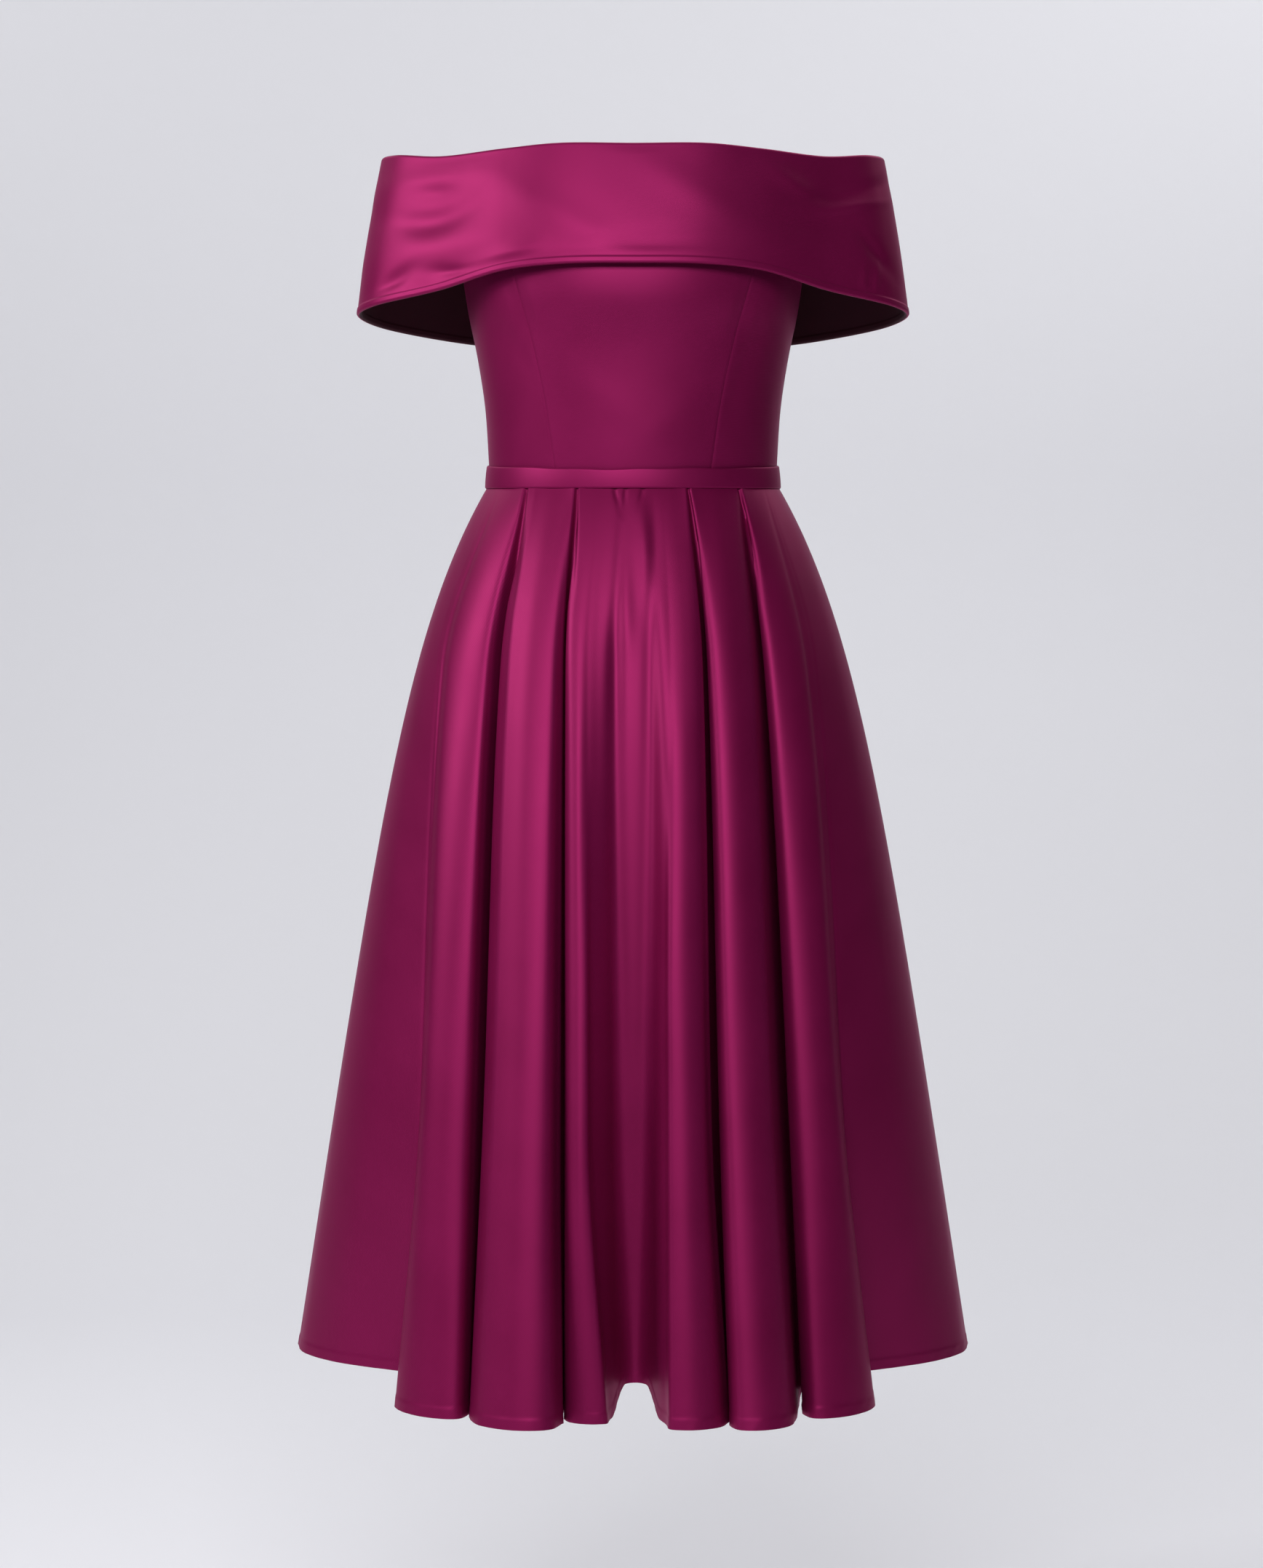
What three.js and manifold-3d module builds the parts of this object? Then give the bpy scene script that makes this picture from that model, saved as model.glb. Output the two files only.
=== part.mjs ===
// An off-the-shoulder satin midi dress, hollow, in the shape it has when it is worn.
// Millimetres, +Z up. The front faces -Y and +X is the wearer's left.
// The origin is the centre of the waist, halfway up the waistband, where the wearer holds the dress.
import * as THREE from "three";
import { mergeVertices } from "three/addons/utils/BufferGeometryUtils.js";
import Module from "manifold-3d";

const wasm = await Module();
wasm.setup();

// Driving sizes
const SEAM_GAP = 0.3; // between two pieces that are sewn together
const SKIRT_WALL = 1.2;
const BODICE_WALL = 1.6;
const WAISTBAND_WALL = 2.4; // doubled cloth
const BAND_WALL = 3; // the shoulder band is doubled and softly filled

// The bodice's level sections are superellipses: half width, depth to the front and to the back,
// and power. seam is the distance of the two princess seams from the middle.
const BODICE_SECTIONS = [
  { z: 8, half: 122.5, front: 97, back: 86, power: 2, seam: 66 },
  { z: 50, half: 125, front: 102.5, back: 88, power: 2.12, seam: 72 },
  { z: 110, half: 133.7, front: 111, back: 92, power: 2.28, seam: 85 },
  { z: 160, half: 143.2, front: 121, back: 94, power: 2.4, seam: 98.8 },
  { z: 205, half: 148.3, front: 118, back: 95, power: 2.4, seam: 106 },
  { z: 258, half: 150, front: 112.7, back: 95.2, power: 2.5, seam: 110 },
];
const NECKLINE = 256; // the bodice's top edge, just under the band's fold
const UNDERARM = 203; // the lowest point of the armholes, at the side seams
const BODICE_HEM = 8.8;
const BODICE_ROWS = [0, 0.075, 0.16, 0.3, 0.44, 0.58, 0.72, 0.86, 1]; // shares of the way down
const BODICE_COLUMNS = { frontCentre: 12, frontSide: 7, back: 20 };
const WAISTBAND_COLUMNS = 24;

// The waistband, a straight strip that dips towards the middle of the front.
const WAISTBAND = {
  top: { z: 8.5, dip: 13, half: 124.3, front: 98.8, back: 87.8 },
  bottom: { z: -9.5, dip: 9.5, half: 126, front: 98.7, back: 88.2 },
};
const WAISTBAND_ROWS = [
  { down: 0, thickness: 1.4 },
  { down: 0.1, thickness: WAISTBAND_WALL },
  { down: 0.9, thickness: WAISTBAND_WALL },
  { down: 1, thickness: 1.4 },
];

// The shoulder band's middle surface between its top fold and its bottom fold, from the middle of
// the front round the wearer's left arm to the middle of the back. The right half mirrors it.
const BAND_STATIONS = [
  { topX: 0, topY: -114, topZ: 260, bottomX: 0, bottomY: -129.5, bottomZ: 159.5 },
  { topX: 60, topY: -109.6, topZ: 261, bottomX: 60, bottomY: -124.6, bottomZ: 159.5 },
  { topX: 105, topY: -93.8, topZ: 260, bottomX: 105, bottomY: -109.8, bottomZ: 157 },
  { topX: 159, topY: -61.5, topZ: 260.5, bottomX: 159, bottomY: -77.5, bottomZ: 146.5 },
  { topX: 199, topY: -31, topZ: 268, bottomX: 219, bottomY: -37, bottomZ: 139.5 },
  { topX: 212.5, topY: 0, topZ: 271, bottomX: 233.5, bottomY: 0, bottomZ: 137.5 },
  { topX: 199, topY: 33, topZ: 268, bottomX: 219, bottomY: 39, bottomZ: 134 },
  { topX: 159, topY: 59, topZ: 265, bottomX: 164, bottomY: 73.5, bottomZ: 127.5 },
  { topX: 105, topY: 80, topZ: 262, bottomX: 105, bottomY: 96, bottomZ: 123.5 },
  { topX: 60, topY: 92.6, topZ: 261, bottomX: 60, bottomY: 106, bottomZ: 121.5 },
  { topX: 0, topY: 96.4, topZ: 260, bottomX: 0, bottomY: 110, bottomZ: 120 },
];
const BAND_BELLY = 1.5; // how far the band swells between its folds
const BAND_ROWS = [
  { down: 0, thickness: 0.8 },
  { down: 0.012, thickness: 2.3 },
  { down: 0.03, thickness: BAND_WALL },
  { down: 0.22, thickness: BAND_WALL },
  { down: 0.42, thickness: BAND_WALL },
  { down: 0.62, thickness: BAND_WALL },
  { down: 0.8, thickness: BAND_WALL },
  { down: 0.945, thickness: BAND_WALL },
  { down: 0.97, thickness: 4.2 },
  { down: 0.988, thickness: 3.8 },
  { down: 1, thickness: 1 },
];
const BAND_STEPS = 3; // columns from one station to the next
const BAND_SIDE = 5; // the station over the arm, where the front and back halves meet
const BAND_STATION_LENGTH = 36; // about how far apart the stations are there

// The skirt. Every list of four values is at these distances down from the waist seam:
// the waist, the hip, the knee and the hem.
const SKIRT_TOP = -9.8;
const SKIRT_LENGTH = 747.5;
const STATIONS = [0, 148, 520, SKIRT_LENGTH];
const SKIRT_ROWS = [0, 12, 30, 55, 85, 125, 175, 240, 320, 400, 490, 580, 665, SKIRT_LENGTH];
const SKIRT_WAIST = { half: 125, front: 97.5, back: 87, dip: 9.5 };
const FLARE = { straight: 0.1485, hip: 49.5, hipLength: 120 };
const HEM_LIFT = { most: 20, from: 155, to: 125 }; // the hem rises where it is less deep than this
const HEM_RECESS = { middle: 2, reach: 19, ease: 12 }; // and in the recess in the middle of the front
const FOLD_ANGLES = [-90, -45, 0, 45, 90]; // points round each fold's crest, in degrees
const FOLD_SQUARENESS = 2.3; // power of the superellipse that a fold follows
const PANEL_SHARES = [0, 0.3, 0.62]; // points from a side seam towards the first valley
const FOLD_STEPS = 2;
const PANEL_STEPS = 3;
const MITRE_LIMIT = 0.7; // least cosine of half a corner's turn when the plan is moved inwards
const LEAST_STEP = 0.1; // least share of a step that is left when the plan is moved inwards
const STEP_PASSES = 12;
const ARC_SEGMENTS = 10; // on each curved edge of the zip pull

// Folds: x of the left and right edges, how far the edges fall behind the crest, how much less the
// left edge falls than the middle of the two, and the crest's depth as a share of the envelope.
// Valleys between them: x of the middle, half the gap, and depth as a share of the envelope.
const UPRIGHT = [0, 0, 0, 0]; // the lean of a fold whose two edges fall alike
const FRONT = {
  depth: SKIRT_WAIST.front,
  share: 0.94,
  recess: HEM_RECESS,
  folds: [
    {
      left: [-112, -156, -171, -190],
      right: [-91, -115, -126, -130],
      fall: [0, 7, 15, 27],
      lean: [0, 6, 8, 0],
      crest: [1, 0.985, 0.975, 0.965],
    },
    {
      left: [-85, -105.5, -118, -128],
      right: [-49, -58.6, -59, -55.8],
      fall: [0, 10, 26, 34],
      lean: UPRIGHT,
      crest: [1, 0.99, 1.02, 1.035],
    },
    {
      left: [-44, -53.1, -52.6, -53.3],
      right: [-20, -33, -31.7, -13],
      fall: [0, 5, 13, 17],
      lean: UPRIGHT,
      crest: [1, 0.99, 0.975, 0.9],
    },
    {
      left: [-9, -9, -9, -5],
      right: [8, 10, 10, 9],
      fall: [0, 0.4, 3.5, 0.5],
      lean: UPRIGHT,
      crest: [1, 0.942, 0.785, 0.653],
    },
    {
      left: [18, 22, 20.5, 18],
      right: [42.5, 53.7, 60, 74.2],
      fall: [0, 5, 18, 27],
      lean: UPRIGHT,
      crest: [1, 0.99, 1, 0.99],
    },
    {
      left: [47.5, 61.3, 69, 75.5],
      right: [84.5, 99.7, 113.5, 126.5],
      fall: [0, 8, 18, 25],
      lean: UPRIGHT,
      crest: [1, 0.99, 1.02, 1.045],
    },
    {
      left: [90.5, 108, 125.5, 134.5],
      right: [110, 143, 168, 193],
      fall: [0, 7, 15, 28],
      lean: [0, -6, -8, 0],
      crest: [1, 0.985, 0.975, 0.965],
    },
  ],
  valleys: [
    { middle: [-114.5, -161, -172, -178], gap: [1, 1.5, 1.5, 4], depth: [1, 0.955, 0.86, 0.63] },
    { middle: [-88, -101.5, -113, -126], gap: [1, 1.5, 1.5, 1.5], depth: [1, 0.7, 0.64, 0.64] },
    { middle: [-46.5, -51.5, -49.5, -53], gap: [0.8, 1.2, 1.2, 1.2], depth: [1, 0.8, 0.73, 0.71] },
    { middle: [-14.5, -14, -12.5, -8.5], gap: [2, 4, 3.5, 1.5], depth: [1, 0.935, 0.764, 0.65] },
    { middle: [13, 13.5, 13.5, 12.5], gap: [2, 3, 3, 1.5], depth: [1, 0.94, 0.768, 0.65] },
    { middle: [45, 62.5, 71.5, 77], gap: [0.8, 1.2, 1.2, 1.2], depth: [1, 0.8, 0.73, 0.71] },
    { middle: [87.5, 110, 129, 137], gap: [1, 1.5, 1.5, 1.5], depth: [1, 0.7, 0.64, 0.64] },
    { middle: [112.5, 150, 170, 181], gap: [1, 1.5, 1.5, 4], depth: [1, 0.955, 0.86, 0.63] },
  ],
};
const BACK = {
  depth: SKIRT_WAIST.back,
  share: 0.95,
  recess: null,
  folds: [
    {
      left: [-112, -150, -166, -182],
      right: [-96, -116, -124, -127],
      fall: [0, 7, 15, 27],
      lean: [0, 6, 8, 0],
      crest: [1, 0.985, 0.975, 0.965],
    },
    {
      left: [-90, -107, -115, -122],
      right: [-52.5, -62, -66, -68],
      fall: [0, 9, 22, 27],
      lean: UPRIGHT,
      crest: [1, 0.99, 1, 1],
    },
    {
      left: [-47.5, -56, -59, -63],
      right: [-4, -6, -8, -9],
      fall: [0, 9, 22, 27],
      lean: UPRIGHT,
      crest: [1, 0.99, 1, 0.99],
    },
    {
      left: [4, 7, 7, 6],
      right: [49.5, 60, 66, 71],
      fall: [0, 9, 23, 30],
      lean: UPRIGHT,
      crest: [1, 0.99, 1, 1],
    },
    {
      left: [54.5, 67, 74, 77],
      right: [93, 112, 124, 131],
      fall: [0, 8, 20, 26],
      lean: UPRIGHT,
      crest: [1, 0.99, 1, 1],
    },
    {
      left: [98.5, 121, 133, 138],
      right: [114, 152, 172, 188],
      fall: [0, 7, 14, 25],
      lean: [0, -6, -8, 0],
      crest: [1, 0.985, 0.975, 0.965],
    },
  ],
  valleys: [
    { middle: [-115.5, -157, -170, -176], gap: [1, 1.5, 1.5, 4], depth: [1, 0.955, 0.86, 0.66] },
    { middle: [-93, -104.5, -112, -122], gap: [1, 1.5, 1.5, 1.5], depth: [1, 0.76, 0.7, 0.67] },
    { middle: [-50, -63.5, -67, -68.5], gap: [0.8, 1.4, 1.4, 1.4], depth: [1, 0.82, 0.75, 0.71] },
    { middle: [0, 0.5, -0.5, -1.5], gap: [1.5, 2.4, 2.6, 2.6], depth: [1, 0.85, 0.74, 0.69] },
    { middle: [52, 67.5, 75, 78], gap: [0.8, 1.4, 1.4, 1.4], depth: [1, 0.82, 0.75, 0.71] },
    { middle: [95.7, 111, 122.5, 131], gap: [1, 1.5, 1.5, 1.5], depth: [1, 0.76, 0.7, 0.67] },
    { middle: [117, 158, 174, 180], gap: [1, 1.5, 1.5, 4], depth: [1, 0.955, 0.86, 0.66] },
  ],
};

// The concealed zip in the left side seam, seen from the side seam outwards along +X.
const ZIP = { width: 6, thickness: 1.2, clearance: 0.45, skirtLength: 175 };
const ZIP_LEVELS = [160, 130, 100, 70, 40]; // where the chain bends along the bodice
const SLIDER = {
  bottom: 190,
  height: 9,
  hingeUp: 5,
  width: 5.6,
  plate: 1.3,
  neckWidth: 1.2,
  notch: 0.9,
};
const NOTCH_SHARE = 0.1; // share of the side seam's height that parts for the slider's neck
const JOIN = 0.5; // how far the slider's pieces reach into each other
const BRIDGE = { width: 1.4, height: 7, reach: 3.2, window: { height: 4, reach: 2.2 } };
const PULL = {
  thickness: 1,
  top: 0.6,
  half: 2.4,
  slot: { half: 1, from: 0.6, to: 5 },
  shoulder: 5.6,
  neck: { down: 7.4, half: 1.7 },
  drop: { down: 16, half: 3.1 },
  length: 20,
};
const PULL_CLEARANCE = 0.5; // between the slider's plate and the pull that hangs beside it

const satin = (colour) => new THREE.MeshStandardMaterial({ color: colour, roughness: 0.42, metalness: 0 });
const SATIN = satin(0x7a0f46);
const SATIN_BAND = satin(0x8a1f55);
const ZIP_METAL = new THREE.MeshStandardMaterial({ color: 0x6d1a44, roughness: 0.35, metalness: 0.6 });
const ZIP_TAPE = satin(0x4a0a2c);

const mix = (a, b, share) => a + (b - a) * share;
const clamped = (value, low, high) => Math.min(high, Math.max(low, value));
const radians = THREE.MathUtils.degToRad;

// A smooth curve through values at the given stations that never swings past them:
// cubic pieces whose slopes are weighted harmonic means of their neighbours' slopes.
function between(stations, values, place) {
  const last = stations.length - 1;
  const i = clamped(stations.findIndex((s) => s > place) - 1, 0, last - 1);
  const from = place >= stations[last] ? last - 1 : i;
  const slope = (k) => (values[k + 1] - values[k]) / (stations[k + 1] - stations[k]);
  const tangent = (k) => {
    if (k === 0) return slope(0);
    if (k === last) return slope(last - 1);
    const before = slope(k - 1);
    const after = slope(k);
    if (before * after <= 0) return 0;
    const h0 = stations[k] - stations[k - 1];
    const h1 = stations[k + 1] - stations[k];
    return (3 * (h0 + h1)) / ((2 * h1 + h0) / before + (h1 + 2 * h0) / after);
  };
  const h = stations[from + 1] - stations[from];
  const t = (place - stations[from]) / h;
  return (
    (2 * t ** 3 - 3 * t ** 2 + 1) * values[from] +
    (t ** 3 - 2 * t ** 2 + t) * h * tangent(from) +
    (3 * t ** 2 - 2 * t ** 3) * values[from + 1] +
    (t ** 3 - t ** 2) * h * tangent(from + 1)
  );
}

// A closed wall between an outer and an inner grid of points. Rows run down, and columns run
// anticlockwise seen from above.
function wall(name, outer, inner, material) {
  const rows = outer.length;
  const columns = outer[0].length;
  const at = (layer, row, column) => (layer * rows + row) * columns + column;
  const index = [];
  const quad = (a, b, c, d) => index.push(a, b, c, a, c, d);
  for (let r = 0; r < rows - 1; r++) {
    for (let c = 0; c < columns - 1; c++) {
      quad(at(0, r, c), at(0, r + 1, c), at(0, r + 1, c + 1), at(0, r, c + 1));
      quad(at(1, r, c), at(1, r, c + 1), at(1, r + 1, c + 1), at(1, r + 1, c));
    }
    const end = columns - 1;
    quad(at(0, r, 0), at(1, r, 0), at(1, r + 1, 0), at(0, r + 1, 0));
    quad(at(0, r, end), at(0, r + 1, end), at(1, r + 1, end), at(1, r, end));
  }
  for (let c = 0; c < columns - 1; c++) {
    const end = rows - 1;
    quad(at(0, 0, c), at(0, 0, c + 1), at(1, 0, c + 1), at(1, 0, c));
    quad(at(0, end, c), at(1, end, c), at(1, end, c + 1), at(0, end, c + 1));
  }
  const points = [...outer, ...inner].flat().flatMap((p) => p.toArray());
  const geometry = new THREE.BufferGeometry();
  geometry.setAttribute("position", new THREE.Float32BufferAttribute(points, 3));
  geometry.setIndex(index);
  geometry.computeVertexNormals();
  return named(name, geometry, material);
}

function named(name, geometry, material) {
  const mesh = new THREE.Mesh(geometry, material);
  mesh.name = name;
  return mesh;
}

// Bodice

function bodiceSection(z) {
  const stations = BODICE_SECTIONS.map((s) => s.z);
  const value = (key) => between(stations, BODICE_SECTIONS.map((s) => s[key]), z);
  return {
    half: value("half"),
    front: value("front"),
    back: value("back"),
    power: value("power"),
    seam: value("seam"),
  };
}

// The point of the bodice's outer face at height z and distance x, (|x|/half)^power +
// (|y|/depth)^power = 1, and its outward normal, moved inwards by the given depth of cloth.
function bodicePoint(z, x, side, inwards) {
  const s = bodiceSection(z);
  const facing = side === "front" ? -1 : 1;
  const across = clamped(Math.abs(x) / s.half, 0, 1);
  const away = (1 - across ** s.power) ** (1 / s.power);
  const normal = new THREE.Vector3(
    (Math.sign(x) * across ** (s.power - 1)) / s.half,
    (facing * away ** (s.power - 1)) / s[side],
    0,
  ).normalize();
  return new THREE.Vector3(x, facing * away * s[side], z).addScaledVector(normal, -inwards);
}

const waistDip = (y, dip) => (dip * Math.max(0, -y)) / SKIRT_WAIST.front;

function bodiceHem(x, side) {
  return BODICE_HEM - waistDip(bodicePoint(BODICE_HEM, x, side, 0).y, WAISTBAND.top.dip);
}

const armhole = (share) => mix(UNDERARM, NECKLINE, 1 - Math.sin((share * Math.PI) / 2));

// A bodice panel. acrossAt gives x on the section at height z for a column's share, topAt the
// height of its top edge, and gapAt how far a column is parted from y = 0 at a row.
function bodicePanel(name, side, shares, acrossAt, topAt, gapAt) {
  const facing = side === "front" ? -1 : 1;
  const layer = (inwards) =>
    BODICE_ROWS.map((down) =>
      shares.map((share) => {
        const z = mix(topAt(share), bodiceHem(acrossAt(share, BODICE_HEM), side), down);
        const point = bodicePoint(z, acrossAt(share, z), side, inwards);
        point.y = facing * Math.max(facing * point.y, gapAt(share, down));
        return point;
      }),
    );
  return wall(name, layer(0), layer(BODICE_WALL), SATIN);
}

const evenShares = (from, to, count) => Array.from({ length: count + 1 }, (_, i) => mix(from, to, i / count));

// At the side seam's top, on the wearer's left, the edges part for the slider's neck.
function sideGap(atLeftSeam, down) {
  return atLeftSeam && down < NOTCH_SHARE ? SLIDER.notch : SEAM_GAP / 2;
}

function frontCentre() {
  const across = (share, z) => share * (bodiceSection(z).seam - SEAM_GAP / 2);
  const shares = evenShares(-1, 1, BODICE_COLUMNS.frontCentre);
  return bodicePanel("bodice_front_centre", "front", shares, across, () => NECKLINE, () => 0);
}

// sign is 1 for the wearer's left. The share runs from 0 at the princess seam to 1 at the side
// seam, as an angle round the section.
function frontSide(name, sign) {
  const across = (share, z) => {
    const s = bodiceSection(z);
    const start = Math.acos(((s.seam + SEAM_GAP / 2) / s.half) ** (s.power / 2));
    return sign * s.half * Math.cos(start * (1 - share)) ** (2 / s.power);
  };
  const shares = evenShares(sign > 0 ? 0 : 1, sign > 0 ? 1 : 0, BODICE_COLUMNS.frontSide);
  const gap = (share, down) => (share === 1 ? sideGap(sign > 0, down) : 0);
  return bodicePanel(name, "front", shares, across, armhole, gap);
}

// The share runs from 1 at the left side seam to -1 at the right one.
function bodiceBack() {
  const across = (share, z) => {
    const s = bodiceSection(z);
    const angle = ((1 - Math.abs(share)) * Math.PI) / 2;
    return Math.sign(share) * s.half * Math.cos(angle) ** (2 / s.power);
  };
  const top = (share) => armhole(clamped(2 * Math.abs(share) - 1, 0, 1));
  const gap = (share, down) => (Math.abs(share) === 1 ? sideGap(share > 0, down) : 0);
  return bodicePanel("bodice_back", "back", evenShares(1, -1, BODICE_COLUMNS.back), across, top, gap);
}

// Waistband

function waistbandHalf(name, side) {
  const facing = side === "front" ? -1 : 1;
  const angles = evenShares(0, 180, WAISTBAND_COLUMNS).map(radians);
  const layer = (sign) =>
    WAISTBAND_ROWS.map(({ down, thickness }) =>
      angles.map((angle) => {
        const { top, bottom } = WAISTBAND;
        const half = mix(top.half, bottom.half, down);
        const depth = mix(top[side], bottom[side], down);
        const x = facing * half * Math.cos(angle);
        const y = facing * depth * Math.sin(angle);
        const normal = new THREE.Vector3(x / half ** 2, y / depth ** 2, 0).normalize();
        const z = mix(top.z - waistDip(y, top.dip), bottom.z - waistDip(y, bottom.dip), down);
        const inwards = WAISTBAND_WALL / 2 - (sign * thickness) / 2;
        const point = new THREE.Vector3(x, y, z).addScaledVector(normal, -inwards);
        point.y = facing * Math.max(facing * point.y, SEAM_GAP / 2);
        return point;
      }),
    );
  return wall(name, layer(1), layer(-1), SATIN);
}

// Shoulder band

function bandCurves() {
  const mirrored = BAND_STATIONS.slice(1, -1).reverse();
  const curve = (level) => {
    const point = (s, sign) => new THREE.Vector3(sign * s[level + "X"], s[level + "Y"], s[level + "Z"]);
    const points = [...BAND_STATIONS.map((s) => point(s, 1)), ...mirrored.map((s) => point(s, -1))];
    return new THREE.CatmullRomCurve3(points, true);
  };
  return { top: curve("top"), bottom: curve("bottom") };
}

// from and to are counted in stations from the middle of the front.
function bandHalf(name, from, to) {
  const { top, bottom } = bandCurves();
  const count = top.points.length;
  const inset = SEAM_GAP / 2 / BAND_STATION_LENGTH;
  const places = evenShares(from + inset, to - inset, (to - from) * BAND_STEPS);
  const turn = (place) => (((place / count) % 1) + 1) % 1;
  const layer = (sign) =>
    BAND_ROWS.map(({ down, thickness }) =>
      places.map((place) => {
        const t = turn(place);
        const point = top.getPoint(t).lerp(bottom.getPoint(t), down);
        const tangent = top.getTangent(t).lerp(bottom.getTangent(t), down);
        const normal = new THREE.Vector3(tangent.y, -tangent.x, 0).normalize();
        const belly = BAND_BELLY * Math.sin(Math.PI * down);
        return point.addScaledVector(normal, belly + (sign * thickness) / 2);
      }),
    );
  return wall(name, layer(1), layer(-1), SATIN_BAND);
}

// Skirt

const flare = (drop) => FLARE.straight * drop + FLARE.hip * (1 - Math.exp(-drop / FLARE.hipLength));

const squared = (value) => Math.sign(value) * Math.abs(value) ** (2 / FOLD_SQUARENESS);

// The control points of one half of the skirt's plan at a distance down from the waist seam, from
// x = -half to x = +half, each with the number of steps to the next one. y is the distance from
// the X axis here, and it is turned to the front or the back afterwards.
function planPoints(side, drop) {
  const half = SKIRT_WAIST.half + flare(drop);
  const depth = side.depth + side.share * flare(drop);
  const envelope = (x) => depth * Math.sqrt(Math.max(0, 1 - (x / half) ** 2));
  const value = (values) => between(STATIONS, values, drop);
  const points = [];
  const add = (x, y, steps) => points.push({ x, y, steps });
  // Between a side seam and the first valley the plan follows an ellipse that is as deep as the
  // valley, drawn towards the valley's near edge.
  const panel = (valley, sign) => {
    const edge = value(valley.middle) + sign * value(valley.gap);
    const share = value(valley.depth);
    const end = Math.asin(clamped(envelope(edge) / depth, 0, 1));
    const drawn = edge - sign * half * Math.cos(end);
    return PANEL_SHARES.map((s) => ({
      x: sign * half * Math.cos(end * s) + drawn * s * s,
      y: depth * share * Math.sin(end * s),
    }));
  };
  const { folds, valleys } = side;
  panel(valleys[0], -1).forEach((p) => add(p.x, p.y, PANEL_STEPS));
  valleys.forEach((valley, i) => {
    const middle = value(valley.middle);
    const gap = value(valley.gap);
    const share = value(valley.depth);
    add(middle - gap, envelope(middle - gap) * share, 1);
    add(middle + gap, envelope(middle + gap) * share, i < folds.length ? 1 : PANEL_STEPS);
    if (i === folds.length) return;
    const left = value(folds[i].left);
    const right = value(folds[i].right);
    const centre = (left + right) / 2;
    const fall = value(folds[i].fall);
    const lean = value(folds[i].lean);
    const crest = envelope(centre) * (value(folds[i].crest) - 1);
    FOLD_ANGLES.map(radians).forEach((angle, k) => {
      const across = squared(Math.sin(angle));
      const x = centre + ((right - left) / 2) * across;
      const behind = fall * (1 - squared(Math.cos(angle))) + lean * across;
      add(x, envelope(x) + crest - behind, k < FOLD_ANGLES.length - 1 ? FOLD_STEPS : 1);
    });
  });
  panel(valleys.at(-1), 1)
    .reverse()
    .forEach((p) => add(p.x, p.y, PANEL_STEPS));
  return points;
}

// The smooth plan through the control points, as points on a level plane.
function plan(side, drop) {
  const points = planPoints(side, drop);
  const curve = new THREE.CatmullRomCurve3(points.map((p) => new THREE.Vector3(p.x, p.y, 0)));
  const spans = points.length - 1;
  const sampled = [];
  for (let i = 0; i < spans; i++) {
    const { steps } = points[i];
    for (let k = 0; k < steps; k++) sampled.push(curve.getPoint((i + k / steps) / spans));
  }
  sampled.push(curve.getPoint(1));
  return sampled;
}

// The plan moved inwards by the cloth's thickness, mitred at its corners. Where a tight turn would
// fold the moved line back over itself, its points are drawn together until it runs forwards again.
function movedIn(line, thickness) {
  const last = line.length - 1;
  const heading = (i) => {
    const from = clamped(i, 0, last - 1);
    return line[from + 1].clone().sub(line[from]).normalize();
  };
  const moved = line.map((p, i) => {
    const before = heading(i - 1);
    const middle = before.clone().add(heading(i)).normalize();
    const reach = thickness / Math.max(before.dot(middle), MITRE_LIMIT);
    return new THREE.Vector3(p.x + middle.y * reach, p.y - middle.x * reach, p.z);
  });
  for (let pass = 0; pass < STEP_PASSES; pass++) {
    for (let i = 1; i < last - 1; i++) {
      const forwards = line[i + 1].clone().sub(line[i]);
      const step = moved[i + 1].clone().sub(moved[i]);
      if (step.dot(forwards) > LEAST_STEP * forwards.lengthSq()) continue;
      const centre = moved[i].clone().add(moved[i + 1]).divideScalar(2);
      moved[i].copy(centre).addScaledVector(forwards, -LEAST_STEP);
      moved[i + 1].copy(centre).addScaledVector(forwards, LEAST_STEP);
    }
  }
  return moved;
}

const eased = (share) => clamped(share, 0, 1) ** 2 * (3 - 2 * clamped(share, 0, 1));

// How far the hem rises at a point of the plan: beside the side seams, and in the front's recess.
function hemLift(point, recess) {
  const beside = eased((HEM_LIFT.from - point.y) / (HEM_LIFT.from - HEM_LIFT.to));
  const within = recess ? eased((recess.reach - Math.abs(point.x - recess.middle)) / recess.ease) : 0;
  return HEM_LIFT.most * Math.max(beside, within);
}

function skirtHalf(name, side, facing) {
  const outer = SKIRT_ROWS.map((drop) => plan(side, drop));
  const inner = outer.map((line) => movedIn(line, SKIRT_WALL));
  const waistY = outer[0].map((p) => p.y);
  // Both faces take the outer face's height, so that the cloth's edges are level across it.
  const layer = (lines) =>
    lines.map((line, r) => {
      const share = SKIRT_ROWS[r] / SKIRT_LENGTH;
      const placed = line.map((p, c) => {
        const dip = waistDip(facing * waistY[c], SKIRT_WAIST.dip) * (1 - share);
        const lift = hemLift(outer.at(-1)[c], side.recess);
        const z = SKIRT_TOP - SKIRT_ROWS[r] - dip + lift * share;
        return new THREE.Vector3(p.x, facing * Math.max(p.y, SEAM_GAP / 2), z);
      });
      return facing < 0 ? placed : placed.reverse();
    });
  return wall(name, layer(outer), layer(inner), SATIN);
}

// Zip

// The frame of a flat shape seen along one axis: its x, its y and the way that it is extruded.
const FACING_X = new THREE.Matrix4().makeBasis(
  new THREE.Vector3(0, 1, 0),
  new THREE.Vector3(0, 0, 1),
  new THREE.Vector3(1, 0, 0),
);
const FACING_Y = new THREE.Matrix4().makeBasis(
  new THREE.Vector3(1, 0, 0),
  new THREE.Vector3(0, 0, 1),
  new THREE.Vector3(0, -1, 0),
);

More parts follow.
